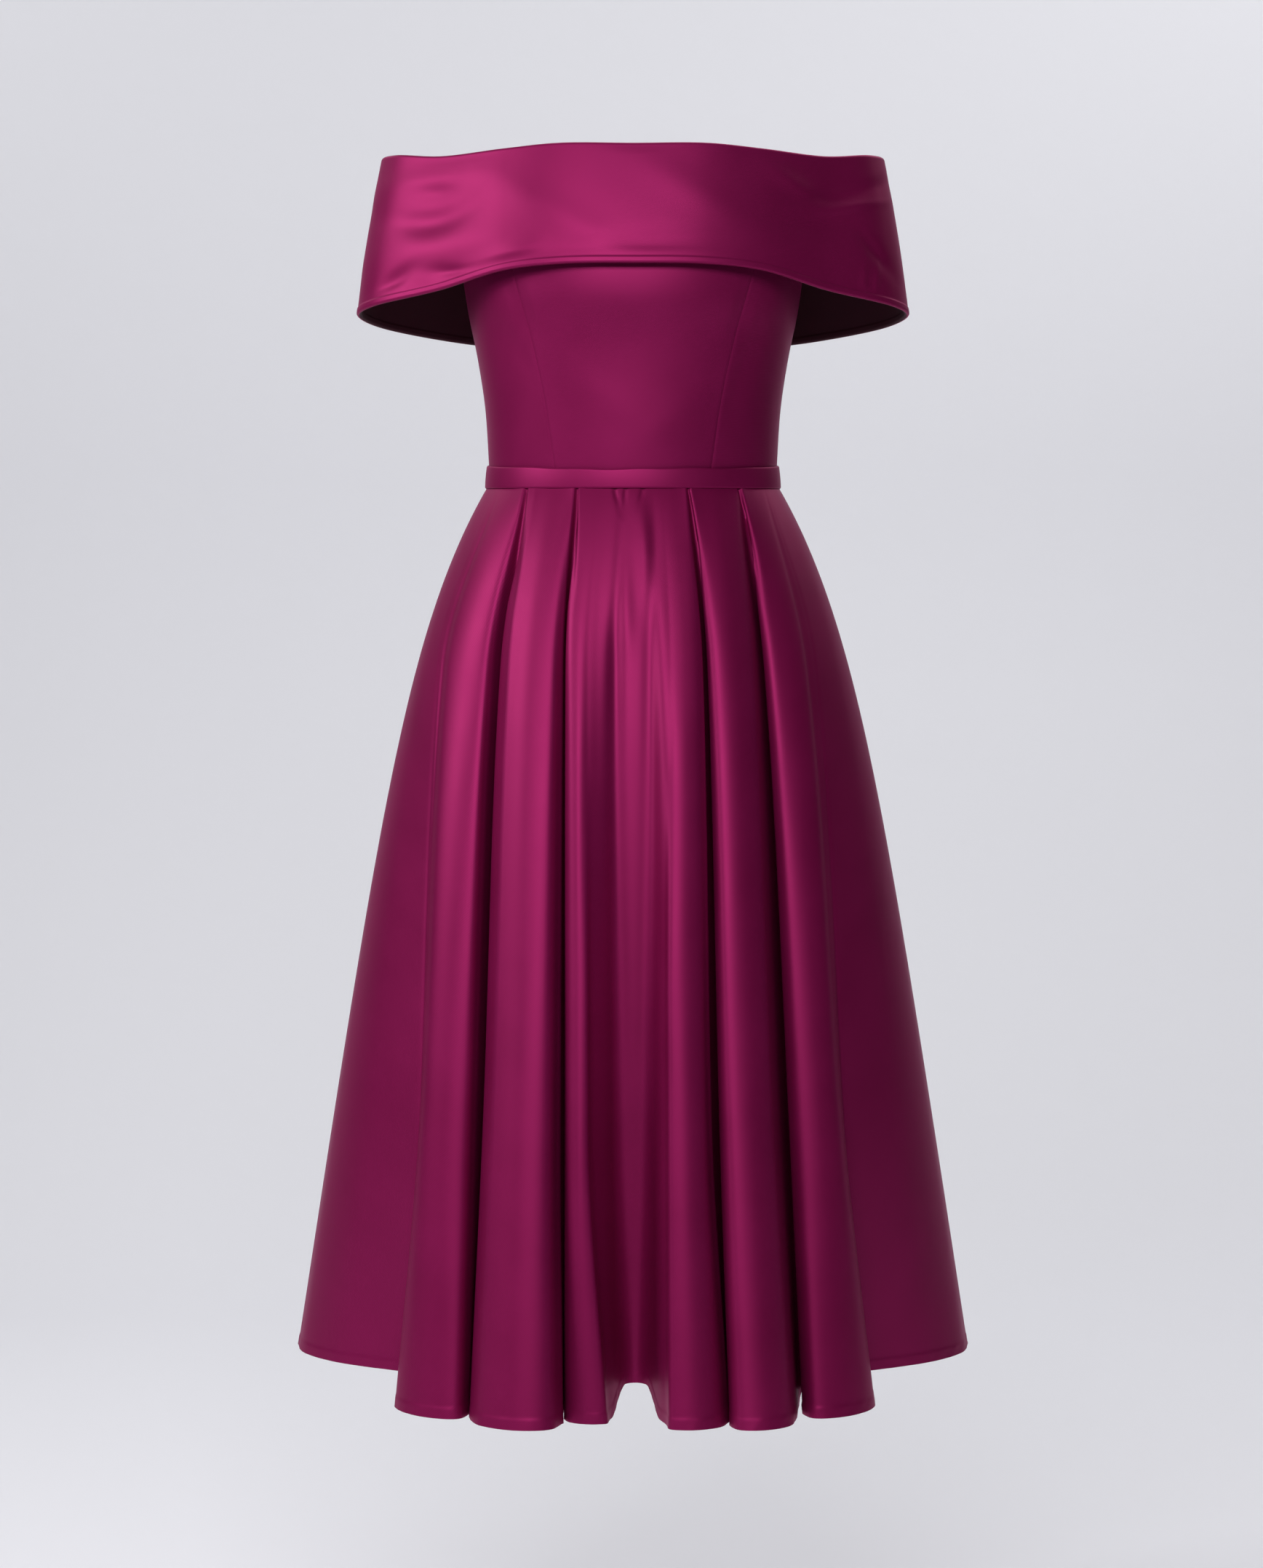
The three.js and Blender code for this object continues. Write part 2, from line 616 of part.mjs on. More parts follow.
// A flat shape made into a plate whose middle plane holds the frame's origin.
function plate(shape, depth, frame) {
  const settings = { depth, bevelEnabled: false, curveSegments: ARC_SEGMENTS };
  const geometry = new THREE.ExtrudeGeometry(shape, settings);
  return geometry.translate(0, 0, -depth / 2).applyMatrix4(frame);
}

// The chain and its tapes, one strip along the inside of the side seam.
function zipChain() {
  const bodiceLevels = [SLIDER.bottom - SLIDER.plate, ...ZIP_LEVELS, BODICE_HEM];
  const faces = bodiceLevels.map((z) => ({ x: bodiceSection(z).half - BODICE_WALL, z }));
  SKIRT_ROWS.filter((drop) => drop <= ZIP.skirtLength).forEach((drop) => {
    const z = SKIRT_TOP - drop + (HEM_LIFT.most * drop) / SKIRT_LENGTH;
    faces.push({ x: SKIRT_WAIST.half + flare(drop) - SKIRT_WALL, z });
  });
  const line = (inwards) => faces.map((p) => new THREE.Vector2(p.x - inwards, p.z));
  const outline = [...line(ZIP.clearance), ...line(ZIP.clearance + ZIP.thickness).reverse()];
  return named("zip_chain", plate(new THREE.Shape(outline), ZIP.width, FACING_Y), ZIP_TAPE);
}

function solid(geometry) {
  const bare = geometry.clone();
  bare.deleteAttribute("normal");
  bare.deleteAttribute("uv");
  const merged = mergeVertices(bare, 1e-4);
  return new wasm.Manifold(
    new wasm.Mesh({
      numProp: 3,
      vertProperties: merged.attributes.position.array,
      triVerts: new Uint32Array(merged.index.array),
    }),
  );
}

function joined(geometries) {
  const made = geometries.map(solid).reduce((a, b) => a.add(b)).getMesh();
  const geometry = new THREE.BufferGeometry();
  geometry.setAttribute("position", new THREE.BufferAttribute(made.vertProperties, 3));
  geometry.setIndex(new THREE.BufferAttribute(made.triVerts, 1));
  geometry.computeVertexNormals();
  return geometry;
}

const box = (x0, x1, y, z0, z1) =>
  new THREE.BoxGeometry(x1 - x0, y, z1 - z0).translate((x0 + x1) / 2, 0, (z0 + z1) / 2);

const sliderTop = SLIDER.bottom + SLIDER.height;
const sliderFace = bodiceSection(sliderTop).half + SEAM_GAP; // the outer plate's inner face
const plateFace = sliderFace + SLIDER.plate; // the outer plate's outer face
const hinge = {
  x: plateFace + PULL_CLEARANCE + PULL.thickness / 2,
  z: SLIDER.bottom + SLIDER.hingeUp,
};

// An outer and an inner plate joined by a neck through the seam, and a bridge along the outside.
function zipSlider() {
  const innerFace = bodiceSection(SLIDER.bottom).half - BODICE_WALL - SEAM_GAP;
  const rect = (target, x0, x1, half) => {
    target.moveTo(x0, hinge.z - half);
    target.lineTo(x1, hinge.z - half);
    target.lineTo(x1, hinge.z + half);
    target.lineTo(x0, hinge.z + half);
    target.closePath();
    return target;
  };
  const outline = rect(new THREE.Shape(), plateFace - JOIN, plateFace + BRIDGE.reach, BRIDGE.height / 2);
  const { window } = BRIDGE;
  outline.holes.push(rect(new THREE.Path(), plateFace, plateFace + window.reach, window.height / 2));
  const geometry = joined([
    box(sliderFace, plateFace, SLIDER.width, SLIDER.bottom, sliderTop),
    box(innerFace - SLIDER.plate, innerFace, SLIDER.width, SLIDER.bottom, sliderTop),
    box(innerFace - JOIN, sliderFace + JOIN, SLIDER.neckWidth, SLIDER.bottom + JOIN, sliderTop - JOIN),
    plate(outline, BRIDGE.width, FACING_Y),
  ]);
  return named("zip_slider", geometry, ZIP_METAL);
}

// A drop-shaped pull that hangs plumb from the bridge: a plate with a slot round the bridge.
function zipPull() {
  const { half, top, slot, shoulder, neck, drop, length } = PULL;
  const outline = new THREE.Shape();
  outline.moveTo(-half, top);
  outline.lineTo(-half, -shoulder);
  outline.quadraticCurveTo(-half, -neck.down, -neck.half, -neck.down);
  outline.lineTo(-drop.half, -drop.down);
  outline.quadraticCurveTo(-drop.half, -length, 0, -length);
  outline.quadraticCurveTo(drop.half, -length, drop.half, -drop.down);
  outline.lineTo(neck.half, -neck.down);
  outline.quadraticCurveTo(half, -neck.down, half, -shoulder);
  outline.lineTo(half, top);
  outline.closePath();
  const hole = new THREE.Path();
  hole.moveTo(-slot.half, -slot.from);
  hole.lineTo(slot.half, -slot.from);
  hole.lineTo(slot.half, -slot.to);
  hole.lineTo(-slot.half, -slot.to);
  hole.closePath();
  outline.holes.push(hole);
  const mesh = named("zip_pull", plate(outline, PULL.thickness, FACING_X), ZIP_METAL);
  mesh.position.set(hinge.x, 0, hinge.z);
  return mesh;
}

const bodice = new THREE.Group();
bodice.add(
  frontCentre(),
  frontSide("bodice_front_side_left", 1),
  frontSide("bodice_front_side_right", -1),
  bodiceBack(),
);
const band = new THREE.Group();
const stationCount = bandCurves().top.points.length;
band.add(
  bandHalf("shoulder_band_front", -BAND_SIDE, BAND_SIDE),
  bandHalf("shoulder_band_back", BAND_SIDE, stationCount - BAND_SIDE),
);
const waistband = new THREE.Group();
waistband.add(waistbandHalf("waistband_front", "front"), waistbandHalf("waistband_back", "back"));
const skirt = new THREE.Group();
skirt.add(skirtHalf("skirt_front", FRONT, -1), skirtHalf("skirt_back", BACK, 1));
const zip = new THREE.Group();
zip.add(zipChain(), zipSlider(), zipPull());

const dress = new THREE.Group();
dress.add(bodice, band, waistband, skirt, zip);
export default dress;
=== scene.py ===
import math

import bpy
import numpy as np
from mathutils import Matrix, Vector


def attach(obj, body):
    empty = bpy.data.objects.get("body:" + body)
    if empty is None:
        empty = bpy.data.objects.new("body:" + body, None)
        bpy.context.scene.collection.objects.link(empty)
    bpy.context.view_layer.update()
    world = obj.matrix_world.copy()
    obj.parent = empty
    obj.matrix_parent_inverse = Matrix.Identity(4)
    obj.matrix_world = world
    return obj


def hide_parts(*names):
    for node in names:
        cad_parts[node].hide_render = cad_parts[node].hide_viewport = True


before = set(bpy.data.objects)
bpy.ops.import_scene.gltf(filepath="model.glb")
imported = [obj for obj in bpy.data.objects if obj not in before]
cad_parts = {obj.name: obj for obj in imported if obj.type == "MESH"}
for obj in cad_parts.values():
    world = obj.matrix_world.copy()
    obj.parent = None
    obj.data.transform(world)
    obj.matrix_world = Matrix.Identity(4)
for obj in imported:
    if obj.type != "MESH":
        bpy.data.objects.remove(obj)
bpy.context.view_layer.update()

MM = 0.001
SEAM_GAP = 0.04  # between two panels that are sewn together
CLOTH = 0.6  # thickness of one layer of satin
SHARP_ANGLE = 55  # degrees between two faces from which their edge is shaded as sharp
FACING = {"front": -1, "back": 1}  # the sign of y

# The bodice's level sections are superellipses. seam is the princess seams' distance from the middle.
BODICE_SECTIONS = {
    "z": [8, 50, 110, 160, 205, 258],
    "half": [122.5, 125, 133.7, 143.2, 148.3, 150],
    "front": [97, 102.5, 111, 121, 118, 112.7],
    "back": [86, 88, 92, 94, 95, 95.2],
    "power": [2, 2.12, 2.28, 2.4, 2.4, 2.5],
    "seam": [66, 72, 85, 98.8, 106, 110],
}
NECKLINE = 256
UNDERARM = 203
BODICE_HEM = 8.8
BODICE_ROWS = 110
BODICE_COLUMNS = {"centre": 150, "side": 90, "back": 221}
TURNED_EDGE = {"width": 7, "thickness": 1.3, "ease": 1.5}  # the bodice's top edge is turned in
MARKS_FADE = {"seam": 14, "top": 12, "hem": 10}  # soft marks die away this near to a panel's edges
SIDE_FROM = 100  # x beyond which a bodice panel ends at the side seam
SEAM_DIP = {"depth": 0.5, "width": 1.1}  # how a panel sinks into its seams
DART = {"share": 0.36, "top": 150, "fade": 25, "depth": 0.7, "width": 1.6}  # the back's waist darts

WAISTBAND = {
    "thickness": 2.4,
    "crown": 0.35,
    "fold": 1.6,
    "columns": 260,
    "rows": 44,
    "waves": [{"height": 0.35, "length": 19, "start": 0}, {"height": 0.25, "length": 7.3, "start": 1}],
    "top": {"z": 10.4, "dip": 13, "half": 124.3, "front": 98.8, "back": 87.8},
    "bottom": {"z": -9.5, "dip": 9.5, "half": 126, "front": 98.7, "back": 88.2},
}

# The shoulder band's middle surface, from the middle of the front round the wearer's left arm to
# the middle of the back: its top fold and its bottom fold. The right half mirrors it.
BAND = {
    "top_x": [0, 60, 105, 159, 199, 212.5, 199, 159, 105, 60, 0],
    "top_y": [-114, -109.6, -93.8, -61.5, -31, 0, 33, 59, 80, 92.6, 96.4],
    "top_z": [260, 261, 260, 260.5, 268, 271, 268, 265, 262, 261, 260],
    "bottom_x": [0, 60, 105, 159, 219, 233.5, 219, 164, 105, 60, 0],
    "bottom_y": [-129.5, -124.6, -109.8, -77.5, -37, 0, 39, 73.5, 96, 106, 110],
    "bottom_z": [159.5, 159.5, 157, 146.5, 139.5, 137.5, 134, 127.5, 123.5, 121.5, 120],
}
BAND_BELLY = 1.5
BAND_WALL = 3
BAND_LIP = {"thickness": 4.2, "width": 5, "ease": 1.2, "round": 2}  # the fold at the band's bottom
BAND_ROUND = 2.2  # reach of the rounding of both folds
BAND_MARKS_FADE = 10
BAND_SEAM_STEP = 36  # from the band's side point to the next one
BAND_COLUMNS = 310
BAND_ROWS = 112

# The skirt. Every list of four values is at these distances down from the waist seam:
# the waist, the hip, the knee and the hem.
SKIRT_TOP = -9.8
SKIRT_LENGTH = 747.5
STATIONS = [0, 148, 520, SKIRT_LENGTH]
SKIRT_WAIST = {"half": 125, "front": 97.5, "back": 87, "dip": 9.5}
FLARE = {"straight": 0.1485, "hip": 49.5, "hip_length": 120}
SKIRT_ROWS = {"gathers_to": 60, "hem_from": 725, "counts": (31, 72, 19)}
HEM_LIFT = {"most": 20, "from": 155, "to": 125}  # the hem rises where it is less deep than this
HEM_RECESS = {"middle": 2, "reach": 19, "ease": 12}  # and in the recess in the front's middle
FOLD_ANGLES = [-90, -45, 0, 45, 90]  # points round each fold's crest, in degrees
FOLD_SQUARENESS = 2.3  # power of the superellipse that a fold follows

# The front's middle is eased: how many times, over how many columns to each side, and how far down
# the skirt the wider easing begins and ends its fading.
SOFT_MIDDLE = {"passes": 3, "reach": 9, "from": 200, "to": 420}

PANEL_SHARES = [0, 0.3, 0.62]  # points from a side seam towards the first valley
STEPS = {"panel": 10, "gap": 3, "side": 6, "fold": 7}  # columns from one of these points to the next
HEM = {"width": 8, "thickness": 1.1, "step": 0.35, "ease": 1.4}
PUCKER = {"height": 0.2, "short": 2.3, "long": 7.1}  # small waves along the hem's stitching
FOLDS_FADE = 12  # creases and runs die away this near to a side seam

# Folds: x of the left and right edges, how far the edges fall behind the crest, how much less the
# left edge falls than the middle of the two, and the crest's depth as a share of the envelope.
# Valleys between them: x of the middle, half the gap, and depth as a share of the envelope.
NO_LEAN = [0, 0, 0, 0]
FRONT = {
    "depth": SKIRT_WAIST["front"],
    "share": 0.94,
    "facing": FACING["front"],
    "recess": HEM_RECESS,
    "left": [
        [-112, -156, -171, -190],
        [-85, -105.5, -118, -128],
        [-44, -53.1, -52.6, -53.3],
        [-9, -9, -9, -5],
        [18, 22, 20.5, 18],
        [47.5, 61.3, 69, 75.5],
        [90.5, 108, 125.5, 134.5],
    ],
    "right": [
        [-91, -115, -126, -130],
        [-49, -58.6, -59, -55.8],
        [-20, -33, -31.7, -13],
        [8, 10, 10, 9],
        [42.5, 53.7, 60, 74.2],
        [84.5, 99.7, 113.5, 126.5],
        [110, 143, 168, 193],
    ],
    "fall": [
        [0, 7, 15, 27],
        [0, 10, 26, 34],
        [0, 5, 13, 17],
        [0, 0.4, 3.5, 0.5],
        [0, 5, 18, 27],
        [0, 8, 18, 25],
        [0, 7, 15, 28],
    ],
    "lean": [[0, 6, 8, 0], *[NO_LEAN] * 5, [0, -6, -8, 0]],
    "crest": [
        [1, 0.985, 0.975, 0.965],
        [1, 0.99, 1.02, 1.035],
        [1, 0.99, 0.975, 0.9],
        [1, 0.942, 0.785, 0.653],
        [1, 0.99, 1, 0.99],
        [1, 0.99, 1.02, 1.045],
        [1, 0.985, 0.975, 0.965],
    ],
    "valley": [
        [-114.5, -161, -172, -178],
        [-88, -101.5, -113, -126],
        [-46.5, -51.5, -49.5, -53],
        [-14.5, -14, -12.5, -8.5],
        [13, 13.5, 13.5, 12.5],
        [45, 62.5, 71.5, 77],
        [87.5, 110, 129, 137],
        [112.5, 150, 170, 181],
    ],
    "gap": [
        [1, 1.5, 1.5, 4],
        [1, 1.5, 1.5, 1.5],
        [0.8, 1.2, 1.2, 1.2],
        [2, 4, 3.5, 1.5],
        [2, 3, 3, 1.5],
        [0.8, 1.2, 1.2, 1.2],
        [1, 1.5, 1.5, 1.5],
        [1, 1.5, 1.5, 4],
    ],
    "low": [
        [1, 0.955, 0.86, 0.63],
        [1, 0.7, 0.64, 0.64],
        [1, 0.8, 0.73, 0.71],
        [1, 0.935, 0.764, 0.65],
        [1, 0.94, 0.768, 0.65],
        [1, 0.8, 0.73, 0.71],
        [1, 0.7, 0.64, 0.64],
        [1, 0.955, 0.86, 0.63],
    ],
}
BACK = {
    "depth": SKIRT_WAIST["back"],
    "share": 0.95,
    "facing": FACING["back"],
    "recess": None,
    "left": [
        [-112, -150, -166, -182],
        [-90, -107, -115, -122],
        [-47.5, -56, -59, -63],
        [4, 7, 7, 6],
        [54.5, 67, 74, 77],
        [98.5, 121, 133, 138],
    ],
    "right": [
        [-96, -116, -124, -127],
        [-52.5, -62, -66, -68],
        [-4, -6, -8, -9],
        [49.5, 60, 66, 71],
        [93, 112, 124, 131],
        [114, 152, 172, 188],
    ],
    "fall": [
        [0, 7, 15, 27],
        [0, 9, 22, 27],
        [0, 9, 22, 27],
        [0, 9, 23, 30],
        [0, 8, 20, 26],
        [0, 7, 14, 25],
    ],
    "lean": [[0, 6, 8, 0], *[NO_LEAN] * 4, [0, -6, -8, 0]],
    "crest": [
        [1, 0.985, 0.975, 0.965],
        [1, 0.99, 1, 1],
        [1, 0.99, 1, 0.99],
        [1, 0.99, 1, 1],
        [1, 0.99, 1, 1],
        [1, 0.985, 0.975, 0.965],
    ],
    "valley": [
        [-115.5, -157, -170, -176],
        [-93, -104.5, -112, -122],
        [-50, -63.5, -67, -68.5],
        [0, 0.5, -0.5, -1.5],
        [52, 67.5, 75, 78],
        [95.7, 111, 122.5, 131],
        [117, 158, 174, 180],
    ],
    "gap": [
        [1, 1.5, 1.5, 4],
        [1, 1.5, 1.5, 1.5],
        [0.8, 1.4, 1.4, 1.4],
        [1.5, 2.4, 2.6, 2.6],
        [0.8, 1.4, 1.4, 1.4],
        [1, 1.5, 1.5, 1.5],
        [1, 1.5, 1.5, 4],
    ],
    "low": [
        [1, 0.955, 0.86, 0.66],
        [1, 0.76, 0.7, 0.67],
        [1, 0.82, 0.75, 0.71],
        [1, 0.85, 0.74, 0.69],
        [1, 0.82, 0.75, 0.71],
        [1, 0.76, 0.7, 0.67],
        [1, 0.955, 0.86, 0.66],
    ],
}

# Crisp creases along the folds: which fold, the angle round its crest, and the crease's height at
# the four stations. width is how far it takes to die away.
FRONT_CREASES = [
    {"fold": 1, "angle": -45, "height": [0.6, 1.6, 1.4, 0.6], "width": 7},
    {"fold": 2, "angle": -90, "height": [0.8, 1.2, 1, 0.6], "width": 5},
    {"fold": 5, "angle": -90, "height": [0.8, 1.4, 1.2, 0.8], "width": 5},
    {"fold": 6, "angle": -90, "height": [0.9, 1.6, 1.4, 1], "width": 5},
    {"fold": 0, "angle": 90, "height": [0.9, 1, 0.8, 0.4], "width": 6},
    {"fold": 1, "angle": -90, "height": [0.8, 2, 1.2, 0.5], "width": 5},
    {"fold": 1, "angle": 90, "height": [0.8, 2.3, 2, 1.4], "width": 5},
    {"fold": 4, "angle": 90, "height": [0.8, 2.5, 2.2, 1.4], "width": 5},
]
BACK_CREASES = [
    {"fold": 1, "angle": -90, "height": [0.8, 1.4, 1.2, 0.8], "width": 5},
    {"fold": 2, "angle": 90, "height": [0.6, 1.2, 1, 0.6], "width": 6},
    {"fold": 3, "angle": -90, "height": [0.8, 1.4, 1.2, 0.6], "width": 5},
    {"fold": 5, "angle": -90, "height": [0.8, 1.4, 1.2, 0.8], "width": 6},
]

# Soft ridges (+) and troughs (-) that run down the skirt: x, height and width at four depths.
FRONT_RUNS = [
    dict(down=[0, 50, 105, 150], x=[-14, -12, -9, -6], height=[0, 0.7, 2, 0], width=[4, 7, 9, 8]),
    dict(down=[0, 50, 150, 520], x=[3, 10, 22, 35], height=[0, 1.8, 1.9, 0], width=[5, 8, 10, 12]),
    dict(down=[0, 160, 400, 748], x=[-9, -14, -12.5, -9], height=[0, -3.2, -3.2, -1.5], width=[5, 6, 7, 7]),
    dict(down=[0, 160, 400, 748], x=[17, 14, 13.5, 12.5], height=[0, -2.4, -3.2, -1.5], width=[5, 6, 7, 7]),
    dict(down=[0, 6, 14, 26], x=[-15, -14, -12, -10], height=[-1, -1, -0.4, 0], width=[1.8, 2, 2.4, 3]),
    dict(down=[0, 6, 16, 30], x=[-6, -6.5, -7, -8], height=[-0.8, -0.9, -0.4, 0], width=[1.6, 2, 2.4, 3]),
    dict(down=[0, 5, 12, 22], x=[8, 7, 5, 3], height=[-0.8, -0.8, -0.3, 0], width=[1.6, 2, 2.4, 3]),
    dict(down=[0, 25, 60, 100], x=[-88, -91, -95, -99], height=[-2.2, -3, -2, 0], width=[1.2, 1.8, 3, 4]),
    dict(down=[0, 25, 60, 100], x=[-46, -46.5, -48, -50], height=[-2, -2.6, -1.6, 0], width=[1.2, 1.6, 2, 3]),
    dict(down=[0, 25, 60, 100], x=[45.3, 49, 54, 58], height=[-2, -2.6, -1.6, 0], width=[1.2, 1.6, 2, 3]),
    dict(down=[0, 25, 60, 100], x=[88, 93, 99, 104], height=[-2.2, -3, -2, 0], width=[1.2, 1.8, 3, 4]),
    dict(down=[0, 60, 180, 400], x=[-68, -76, -86, -92], height=[0, 0.8, 1.2, 0], width=[6, 9, 12, 14]),
    dict(down=[0, 60, 200, 420], x=[66, 72, 80, 84], height=[0, 0.8, 1.2, 0], width=[6, 9, 12, 14]),
]
BACK_RUNS = [
    dict(down=[0, 40, 150, 420], x=[-27, -29, -31, -34], height=[0, 1.4, 1.8, 0], width=[5, 8, 11, 14]),
    dict(down=[0, 50, 180, 480], x=[24, 28, 33, 36], height=[0, 1.2, 2, 0], width=[5, 8, 12, 14]),
    dict(down=[0, 30, 120, 300], x=[72, 78, 88, 94], height=[0, 1, 1.4, 0], width=[5, 8, 10, 12]),
]


def cubic(t, start, leaving, end, arriving):
    """The cubic from start to end, over t from 0 to 1, with its slopes at the two ends."""
    return (
        (2 * t**3 - 3 * t**2 + 1) * start
        + (t**3 - 2 * t**2 + t) * leaving
        + (3 * t**2 - 2 * t**3) * end
        + (t**3 - t**2) * arriving
    )


def smooth(stations, values, places):
    """Curves through rows of values at the stations, at the places. Each piece is a cubic whose end
    slopes are weighted harmonic means of the neighbouring slopes, or nothing at a turn, so that it
    never swings past its values. The result has a row for each curve."""
    s = np.asarray(stations, float)
    v = np.atleast_2d(np.asarray(values, float))
    h = np.diff(s)
    slope = np.diff(v, axis=1) / h
    before = slope[:, :-1]
    after = slope[:, 1:]
    rising = before * after > 0
    safe_before = np.where(rising, before, 1)
    safe_after = np.where(rising, after, 1)
    weights = (2 * h[1:] + h[:-1]) / safe_before + (h[1:] + 2 * h[:-1]) / safe_after
    inner = np.where(rising, 3 * (h[:-1] + h[1:]) / weights, 0)
    tangent = np.concatenate([slope[:, :1], inner, slope[:, -1:]], axis=1)
    i = np.clip(np.searchsorted(s, places, side="right") - 1, 0, len(s) - 2)
    t = (places - s[i]) / h[i]
    return cubic(t, v[:, i], h[i] * tangent[:, i], v[:, i + 1], h[i] * tangent[:, i + 1])


def curve_at(points, places, closed=False):
    """The centripetal Catmull-Rom curve through points along the first axis, at places counted in
    points: a cubic in each span whose knots are the square roots of the points' distances."""
    if closed:
        ring = np.concatenate([points[-1:], points, points[:2]])
        places = places % len(points)
    else:
        first = 2 * points[:1] - points[1:2]
        last = 2 * points[-1:] - points[-2:-1]
        ring = np.concatenate([first, points, last])
    i = np.minimum(places.astype(int), len(ring) - 4)
    t = (places - i).reshape((-1,) + (1,) * (points.ndim - 1))
    p0, p1, p2, p3 = (ring[i + k] for k in range(4))
    knot = lambda a, b: np.sqrt(np.maximum(np.linalg.norm(b - a, axis=-1, keepdims=True), 1e-6))
    d0, d1, d2 = knot(p0, p1), knot(p1, p2), knot(p2, p3)
    start = ((p1 - p0) / d0 - (p2 - p0) / (d0 + d1) + (p2 - p1) / d1) * d1
    end = ((p2 - p1) / d1 - (p3 - p1) / (d1 + d2) + (p3 - p2) / d2) * d1
    return cubic(t, p1, start, p2, end)


def eased(share):
    """0 below 0, 1 above 1, and a smooth step between them."""
    s = np.clip(share, 0, 1)
    return s * s * (3 - 2 * s)


def bell(distance):
    """1 at 0, falling away smoothly on both sides."""
    return np.exp(-(distance**2))


def seam_dip(to_seam):
    """How far a panel sinks in at a distance from its seam."""
    return SEAM_DIP["depth"] * bell(to_seam / SEAM_DIP["width"])


def keep_to_half(layers, facing, limit):
    """Moves a half's points that are nearer than limit to the side seams' plane, or past it."""
    for layer in layers:
        layer[..., 1] = facing * np.maximum(facing * layer[..., 1], limit)


def unit(vectors):
    return vectors / np.maximum(np.linalg.norm(vectors, axis=-1, keepdims=True), 1e-9)


def outward(grid):
    """Unit normals of a grid whose columns run anticlockwise and whose rows run down."""
    return unit(np.cross(np.gradient(grid, axis=1), np.gradient(grid, axis=0)))


def along(grid, axis):
    """Distance along the grid's lines from their first point."""
    step = np.linalg.norm(np.diff(grid, axis=axis), axis=-1)
    start = np.zeros_like(np.take(step, [0], axis=axis))
    return np.concatenate([start, np.cumsum(step, axis=axis)], axis=axis)


def cloth_uv(grid):
    """Places on the flat cloth in metres: distance from the middle column, and distance down."""
    across = along(grid, 0)
    across = across - across[len(grid) // 2]
    return np.stack([across, -along(grid, 1)], axis=-1) * MM


def shell(name, outer, inner, material):
    """A closed wall between an outer and an inner grid of points. Columns run anticlockwise seen
    from above, rows run down, and strips close the four edges."""
    columns, rows = outer.shape[:2]
    number = np.arange(columns * rows).reshape(columns, rows)
    o = number
    n = number + columns * rows
    quad = lambda a, b, c, d: np.stack([a, b, c, d], axis=-1).reshape(-1, 4)
    quads = np.concatenate([
        quad(o[:-1, :-1], o[:-1, 1:], o[1:, 1:], o[1:, :-1]),
        quad(n[:-1, :-1], n[1:, :-1], n[1:, 1:], n[:-1, 1:]),
        quad(o[0, :-1], n[0, :-1], n[0, 1:], o[0, 1:]),
        quad(o[-1, :-1], o[-1, 1:], n[-1, 1:], n[-1, :-1]),
        quad(o[:-1, 0], o[1:, 0], n[1:, 0], n[:-1, 0]),
        quad(o[:-1, -1], n[:-1, -1], n[1:, -1], o[1:, -1]),
    ])
    points = np.concatenate([outer.reshape(-1, 3), inner.reshape(-1, 3)])
    uv = cloth_uv(outer).reshape(-1, 2)
    piece = mesh_piece(name, points, quads, np.concatenate([uv, uv]), material)
    # The inner faces take the wrong side's finish: matt, and near black as painted shade.
    piece.data.materials.append(WRONG_SIDE_PAINTED_SHADE)
    each = (columns - 1) * (rows - 1)
    slots = np.zeros(len(quads), np.int32)
    slots[each : 2 * each] = 1
    piece.data.polygons.foreach_set("material_index", slots)
    return piece


def mesh_piece(name, points, faces, uv, material):
    """A mesh object in metres from points in millimetres, with four-cornered faces."""
    mesh = bpy.data.meshes.new(name)
    mesh.vertices.add(len(points))
    mesh.vertices.foreach_set("co", (points * MM).astype(np.float32).ravel())
    mesh.loops.add(faces.size)
    mesh.loops.foreach_set("vertex_index", faces.astype(np.int32).ravel())
    mesh.polygons.add(len(faces))
    mesh.polygons.foreach_set("loop_start", np.arange(0, faces.size, 4, dtype=np.int32))
    mesh.polygons.foreach_set("use_smooth", np.ones(len(faces), bool))
    mesh.update(calc_edges=True)
    layer = mesh.uv_layers.new(name="cloth")
    layer.data.foreach_set("uv", uv[faces.ravel()].astype(np.float32).ravel())
    mesh.set_sharp_from_angle(angle=math.radians(SHARP_ANGLE))
    mesh.materials.append(material)
    piece = bpy.data.objects.new(name, mesh)
    bpy.context.scene.collection.objects.link(piece)
    return piece


# Bodice


def bodice_section(z):
    """The values of the bodice's level section at each height."""
    keys = [k for k in BODICE_SECTIONS if k != "z"]
    rows = smooth(BODICE_SECTIONS["z"], [BODICE_SECTIONS[k] for k in keys], np.ravel(z))
    return {k: row.reshape(np.shape(z)) for k, row in zip(keys, rows)}


def bodice_face(x, z, side):
    """Points of the bodice's outer face, (|x|/half)^power + (|y|/depth)^power = 1."""
    s = bodice_section(z)
    across = np.clip(np.abs(x) / s["half"], 0, 1)
    y = FACING[side] * s[side] * (1 - across ** s["power"]) ** (1 / s["power"])
    return np.stack([x, y, z], axis=-1)


def bodice_normal(points, side):
    """The superellipse's outward normal, which stays level."""
    x, y, z = np.moveaxis(points, -1, 0)
    s = bodice_section(z)
    nx = np.sign(x) * (np.abs(x) / s["half"]) ** (s["power"] - 1) / s["half"]
    ny = np.sign(y) * (np.abs(y) / s[side]) ** (s["power"] - 1) / s[side]
    return unit(np.stack([nx, ny, 0 * nx], axis=-1))


def waist_dip(y, dip):
    """How far a waist edge drops towards the middle of the front, in step with y."""
    return dip * np.maximum(0, -y) / SKIRT_WAIST["front"]


def armhole(share):
    """Height of the bodice's top edge from the seam (0) to the underarm (1)."""
    return UNDERARM + (NECKLINE - UNDERARM) * (1 - np.sin(share * math.pi / 2))


